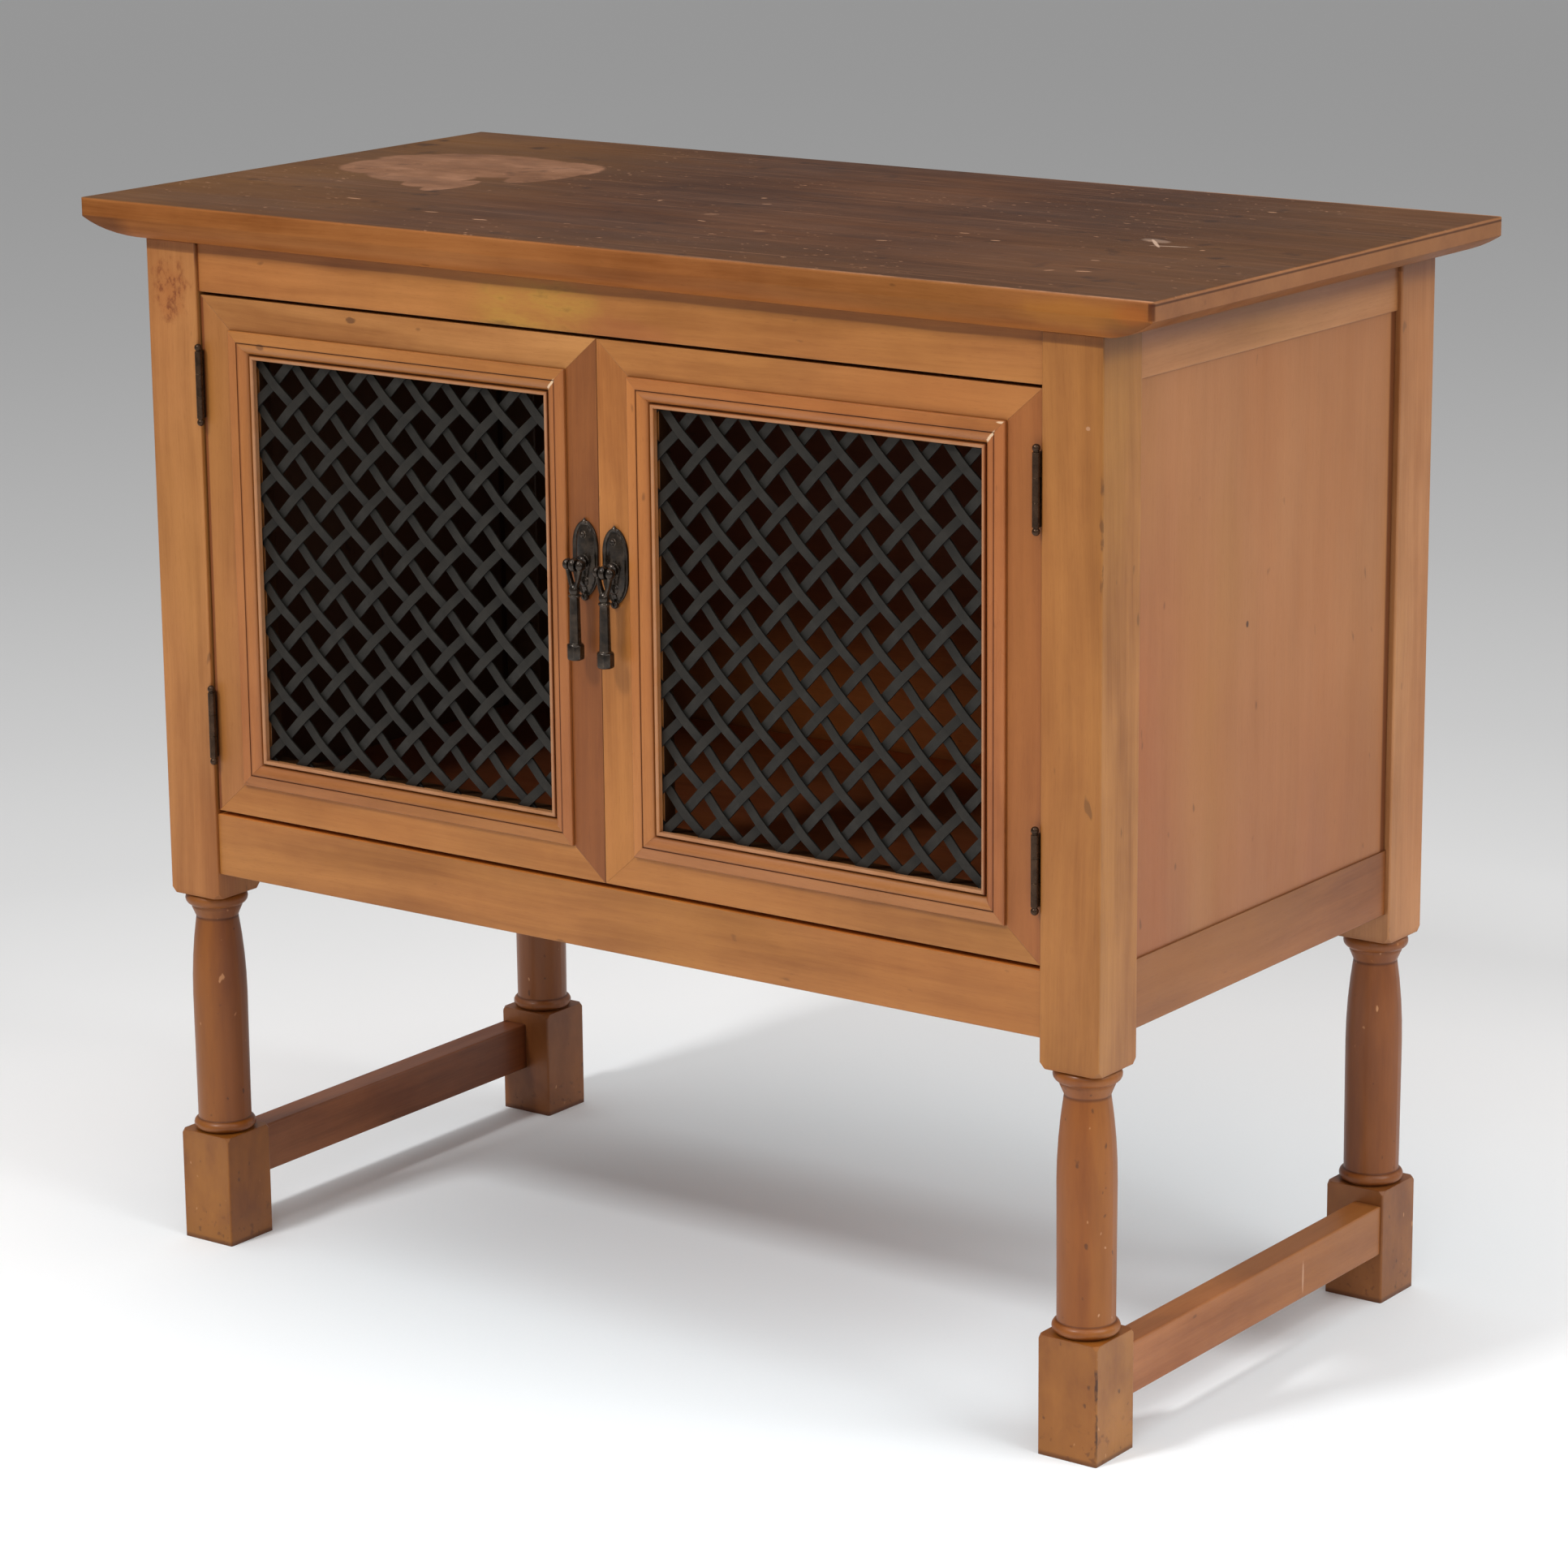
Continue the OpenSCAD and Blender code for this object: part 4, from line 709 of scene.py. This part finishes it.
class Shell:
    """Vertices and faces gathered from several closed parts."""

    def __init__(self):
        self.v, self.f = [], []

    def add(self, verts, faces):
        o = len(self.v)
        self.v += [Vector(p) for p in verts]
        self.f += [tuple(i + o for i in f) for f in faces]

    def loft(self, rings, caps=True):
        """Closed skin over rings of equal length."""
        n = len(rings[0])
        v = [p for r in rings for p in r]
        f = []
        for i in range(len(rings) - 1):
            for j in range(n):
                a, b = i * n + j, i * n + (j + 1) % n
                f.append((a, b, b + n, a + n))
        if caps:
            f.append(tuple(reversed(range(n))))
            f.append(tuple(range((len(rings) - 1) * n, len(rings) * n)))
        self.add(v, f)

    def lathe(self, profile, axis="z", seg=40, at=(0, 0, 0)):
        """Solid of revolution: profile is (radius, height) from one end to the other."""
        rings = []
        for r, h in profile:
            ring = []
            for k in range(seg):
                a = 2 * math.pi * k / seg
                c, s = r * math.cos(a), r * math.sin(a)
                p = {"z": (c, s, h), "y": (s, h, c), "x": (h, c, s)}[axis]
                ring.append(Vector(p) + Vector(at))
            rings.append(ring)
        self.loft(rings)

    def ring(self, profile, axis="x", seg=48, at=(0, 0, 0)):
        """A closed ring: profile is a closed loop of (radius, height)."""
        n = len(profile)
        v = []
        for k in range(seg):
            a = 2 * math.pi * k / seg
            for r, h in profile:
                c, s = r * math.cos(a), r * math.sin(a)
                p = {"z": (c, s, h), "y": (s, h, c), "x": (h, c, s)}[axis]
                v.append(Vector(p) + Vector(at))
        f = []
        for k in range(seg):
            for j in range(n):
                a, b = k * n + j, k * n + (j + 1) % n
                c, d = ((k + 1) % seg) * n + (j + 1) % n, ((k + 1) % seg) * n + j
                f.append((a, b, c, d))
        self.add(v, f)

    def object(self, name, at, mat):
        me = bpy.data.meshes.new(name)
        me.from_pydata([(p + Vector(at)) * 0.001 for p in self.v], [], self.f)
        bm = bmesh.new()
        bm.from_mesh(me)
        bmesh.ops.recalc_face_normals(bm, faces=bm.faces)
        bm.to_mesh(me)
        bm.free()
        me.polygons.foreach_set("use_smooth", [True] * len(me.polygons))
        me.set_sharp_from_angle(angle=math.radians(38))
        o = bpy.data.objects.new(name, me)
        scene.collection.objects.link(o)
        assign(o, mat)
        return o


def plate_half(z):
    """Half width of the back plate at height z."""
    if z > 8.0:
        return 10.5 * max(0.0, 1 - ((z - 8.0) / 19.2) ** 2.4) ** 0.62 + 0.3
    if z < -6.0:
        return 10.5 * max(0.0, 1 - ((-6.0 - z) / 19.8) ** 2.2) ** 0.72 + 0.3
    return 10.8


def back_plate():
    s = Shell()
    nz, nx = 84, 30
    z0, z1 = -25.0, 26.6
    front, back = [], []
    for i in range(nz + 1):
        z = z0 + (z1 - z0) * i / nz
        w = plate_half(z)
        fr, bk = [], []
        for j in range(nx + 1):
            u = math.sin(math.pi / 2 * (2 * j / nx - 1))
            d = min((1 - abs(u)) * w, (z1 + 0.9 - z) * 0.8, (z - z0 + 1.6) * 0.8)
            if d < 0.9:
                h = 0.9 + 0.75 * math.sqrt(max(0.0, 1 - (1 - d / 0.9) ** 2))
            elif d < 1.9:
                h = 1.65
            elif d < 2.5:
                h = 1.65 - 0.55 * (d - 1.9) / 0.6
            else:
                h = 1.10 + 2.7 * (1 - max(0.0, 1 - (d - 2.5) / 8.0) ** 2.0)
            fr.append((u * w, -204.0 - h, z))
            bk.append((u * w, -204.0, z))
        front.append(fr)
        back.append(bk)
    v, f = [], []
    for r in front + back:
        v += r
    m = nx + 1
    ob = (nz + 1) * m
    for i in range(nz):
        for j in range(nx):
            a = i * m + j
            f.append((a, a + 1, a + 1 + m, a + m))
            f.append((ob + a, ob + a + m, ob + a + 1 + m, ob + a + 1))
        for j in (0, nx):
            a = i * m + j
            f.append((a, a + m, ob + a + m, ob + a))
    for i in (0, nz):
        for j in range(nx):
            a = i * m + j
            f.append((a, ob + a, ob + a + 1, a + 1))
    s.add(v, f)
    # pointed tip, ball at the foot
    s.lathe([(0.05, 25.0), (1.5, 25.1), (1.9, 26.2), (1.5, 27.3), (0.7, 28.1), (0.25, 28.8), (0.05, 29.0)], "z", 24, (0, -205.4, 0))
    ball = [(2.9 * math.sin(math.pi * k / 12) + 0.03, -25.4 - 2.9 * math.cos(math.pi * k / 12)) for k in range(13)]
    s.lathe([(r * 0.98, z) for r, z in ball], "z", 28, (0, -206.0, 0))
    # nail head and lower boss, domed forwards
    s.lathe([(0.05, -209.4), (0.9, -209.3), (1.7, -208.9), (2.25, -208.2), (2.4, -207.4), (2.4, -206.4), (0.05, -206.3)], "y", 28, (0, 0, 17.6))
    s.lathe([(0.05, -209.3), (1.6, -209.1), (3.0, -208.5), (3.9, -207.5), (4.3, -206.4), (0.05, -206.2)], "y", 32, (0, 0, -14.5))
    return s


def staple():
    s = Shell()
    pz = -1.5
    # rosette on the plate and the neck that carries the eye
    s.lathe([(0.05, -206.6), (5.4, -206.7), (5.7, -207.4), (5.5, -208.1), (4.4, -208.5), (3.3, -208.7), (3.1, -209.1), (3.9, -209.5),
             (4.7, -210.0), (4.9, -210.7), (4.6, -211.4), (3.7, -211.9), (2.9, -212.2), (2.7, -213.4), (0.05, -213.5)], "y", 40, (0, 0, pz))
    # shank through the stile, clenched over a small washer
    s.lathe([(0.07, -206.7), (2.5, -206.7), (2.5, -183.8), (0.07, -183.8)], "y", 28, (0, 0, pz))
    s.lathe([(0.05, -184.0), (4.2, -184.0), (4.2, -183.4), (3.2, -182.9), (0.05, -182.6)], "y", 28, (0, 0, pz))
    # the eye
    loop = []
    for k in range(14):
        a = 2 * math.pi * k / 14
        loop.append((3.15 + 1.78 * math.cos(a), 2.35 * math.sin(a)))
    s.ring(loop, "x", 44, (0, -217.5, pz))
    return s


def drop():
    """The pendant: pin, two ears, arms, bead, flared shaft and eight-sided end. Origin at the pin."""
    s = Shell()
    s.lathe([(0.05, -6.0), (1.28, -6.0), (1.28, 6.0), (0.05, 6.0)], "x", 24)
    for k in (-1, 1):
        prof = [(0.05, 3.60), (2.6, 3.62), (3.5, 3.95), (4.0, 4.7), (4.1, 5.6), (3.75, 6.7), (3.0, 7.7), (1.9, 8.4), (0.9, 8.72), (0.05, 8.8)]
        s.lathe([(r, k * h) for r, h in prof], "x", 36)
        rings = []
        for t in range(11):
            q = t / 10
            z = -0.6 - 14.9 * q
            x = 5.55 * (1 - q) ** 0.95 + 1.25 * q + 0.35 * math.sin(math.pi * q)
            hx = 1.75 - 0.25 * math.sin(math.pi * q)
            hy = 2.35 - 0.55 * math.sin(math.pi * q) + 0.35 * q
            ring = []
            for m in range(16):
                a = 2 * math.pi * m / 16
                c, n = math.cos(a), math.sin(a)
                ring.append(Vector((k * (x + hx * math.copysign(abs(c) ** 0.8, c)), hy * math.copysign(abs(n) ** 0.8, n), z)))
            rings.append(ring)
        s.loft(rings)
    body = [(0.05, -12.9), (1.9, -13.3), (2.9, -14.2), (3.55, -15.4), (3.95, -16.9), (3.85, -18.4), (3.35, -19.6), (3.15, -20.1), (3.35, -20.35),
            (4.1, -20.6), (4.45, -21.3), (4.1, -22.1), (3.5, -22.5), (3.4, -23.2), (3.6, -26.0), (3.75, -34.0), (3.9, -44.0), (4.05, -51.5),
            (4.15, -53.3), (4.15, -54.9), (0.05, -55.0)]
    s.lathe(body, "z", 48)
    rings = []
    for rr, z in ((3.9, -53.9), (5.1, -54.3), (6.0, -55.1), (6.2, -56.0), (6.2, -63.7), (6.0, -64.7), (5.1, -65.5), (3.6, -65.7)):
        rings.append([Vector((rr * math.cos(math.pi / 8 + m * math.pi / 4), rr * math.sin(math.pi / 8 + m * math.pi / 4), z)) for m in range(8)])
    s.loft(rings)
    return s


for side, px, pz in (("left", -11.7, 561.2), ("right", 13.9, 558.6)):
    o = back_plate().object(side + "_plate", (px, 0, pz), pull)
    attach(o, side + "_door")
    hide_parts(side + "_pull_backplate")
    o = staple().object(side + "_staple", (px, 0, pz), pull)
    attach(o, side + "_door")
    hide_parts(side + "_pull_eye")
    o = drop().object(side + "_drop", (px, -217.5, pz - 1.5), pull)
    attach(o, side + "_pendant")
    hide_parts(side + "_pull_pendant")

# ------------------------------------------------------------------ stage, light, camera

bm = bmesh.new()
bmesh.ops.create_circle(bm, cap_ends=True, cap_tris=False, segments=128, radius=60.0)
me = bpy.data.meshes.new("floor")
bm.to_mesh(me)
bm.free()
floor = bpy.data.objects.new("floor", me)
scene.collection.objects.link(floor)
g = G("floor_paper")
rad = g.vec("DISTANCE", g.co, (0.45, -0.6, 0.0))
# painted light and shade on the floor: the tone is lightest near and under the cabinet, darkest some two to three
# metres out and lighter again far away
tone = g.ramp(g.math("DIVIDE", rad, 12.0), [(p / 12.0, (v, v, v)) for p, v in (
    (0.0, 0.97), (0.8, 0.97), (1.1, 0.96), (1.4, 0.90), (1.65, 0.80), (1.95, 0.715), (2.5, 0.68), (3.4, 0.69), (4.5, 0.75), (6.0, 0.82), (8.0, 0.885), (10.5, 0.94))])
paper = g.noise(g.map((0, 0, 0), scale=(420, 420, 1)), 1.0, 2.0, 0.6)
tone = g.mix(g.range(paper, 0.3, 0.7, 0.0, 0.03), tone, (0.6, 0.6, 0.6))
# the paper under the cabinet is a little bluer, against the warm light thrown down by the timber
tone = g.mix(g.range(g.vec("DISTANCE", g.co, (0.05, 0.0, 0.0)), 0.75, 0.25, 0.0, 1.0, True), tone, (0.94, 1.0, 1.03), "MULTIPLY")
g.put(g.bsdf.inputs["Base Color"], tone)
g.bsdf.inputs["Roughness"].default_value = 0.85
g.bsdf.inputs["Specular IOR Level"].default_value = 0.08
assign(floor, g.mat)


def area(name, loc, target, size, size_y, power, color=(1, 1, 1)):
    li = bpy.data.lights.new(name, "AREA")
    li.shape = "RECTANGLE"
    li.size, li.size_y = size, size_y
    li.energy = power
    li.color = color
    o = bpy.data.objects.new(name, li)
    scene.collection.objects.link(o)
    o.location = loc
    o.rotation_mode = "QUATERNION"
    o.rotation_quaternion = (Vector(target) - Vector(loc)).to_track_quat("-Z", "Y")
    o.visible_camera = False
    return o


area("key", (-0.80, -3.20, 3.75), (0, 0, 0.4), 0.6, 0.6, 90)
area("front", (1.95, -3.0, 2.2), (0, 0, 0.5), 1.4, 1.4, 15)
area("overhead", (-0.1, -0.2, 2.9), (0, -0.05, 0.0), 3.6, 3.2, 47)
area("side", (3.2, 0.0, 2.7), (0.5, -0.1, 0.3), 2.0, 2.0, 52)
area("right_floor", (1.7, -0.25, 2.0), (1.5, -0.25, 0), 1.2, 1.2, 5)
area("rim", (2.6, 3.4, 1.5), (0.2, 0, 0.5), 2.6, 2.2, 14)
w = bpy.data.worlds.new("studio")
scene.world = w
w.use_nodes = True
w.node_tree.nodes["Background"].inputs[0].default_value = (1, 1, 1, 1)
w.node_tree.nodes["Background"].inputs[1].default_value = 0.305
scene.view_settings.view_transform = "Standard"
scene.view_settings.look = "None"

cam = bpy.data.cameras.new("camera")
co = bpy.data.objects.new("camera", cam)
scene.collection.objects.link(co)
YAW, PITCH, ROLL = math.radians(36.137), math.radians(-14.340), math.radians(-0.530)
fw = Vector((-math.sin(YAW) * math.cos(PITCH), math.cos(YAW) * math.cos(PITCH), math.sin(PITCH)))
r0 = Vector((math.cos(YAW), math.sin(YAW), 0))
u0 = r0.cross(fw)
r1 = math.cos(ROLL) * r0 + math.sin(ROLL) * u0
u1 = -math.sin(ROLL) * r0 + math.cos(ROLL) * u0
m = Matrix(((r1.x, u1.x, -fw.x, 2.05684), (r1.y, u1.y, -fw.y, -2.81220), (r1.z, u1.z, -fw.z, 1.25317), (0, 0, 0, 1)))
co.matrix_world = m
cam.sensor_width = 36.0
cam.lens = 6175.60 / 1932 * 36.0
cam.clip_end = 200
scene.camera = co
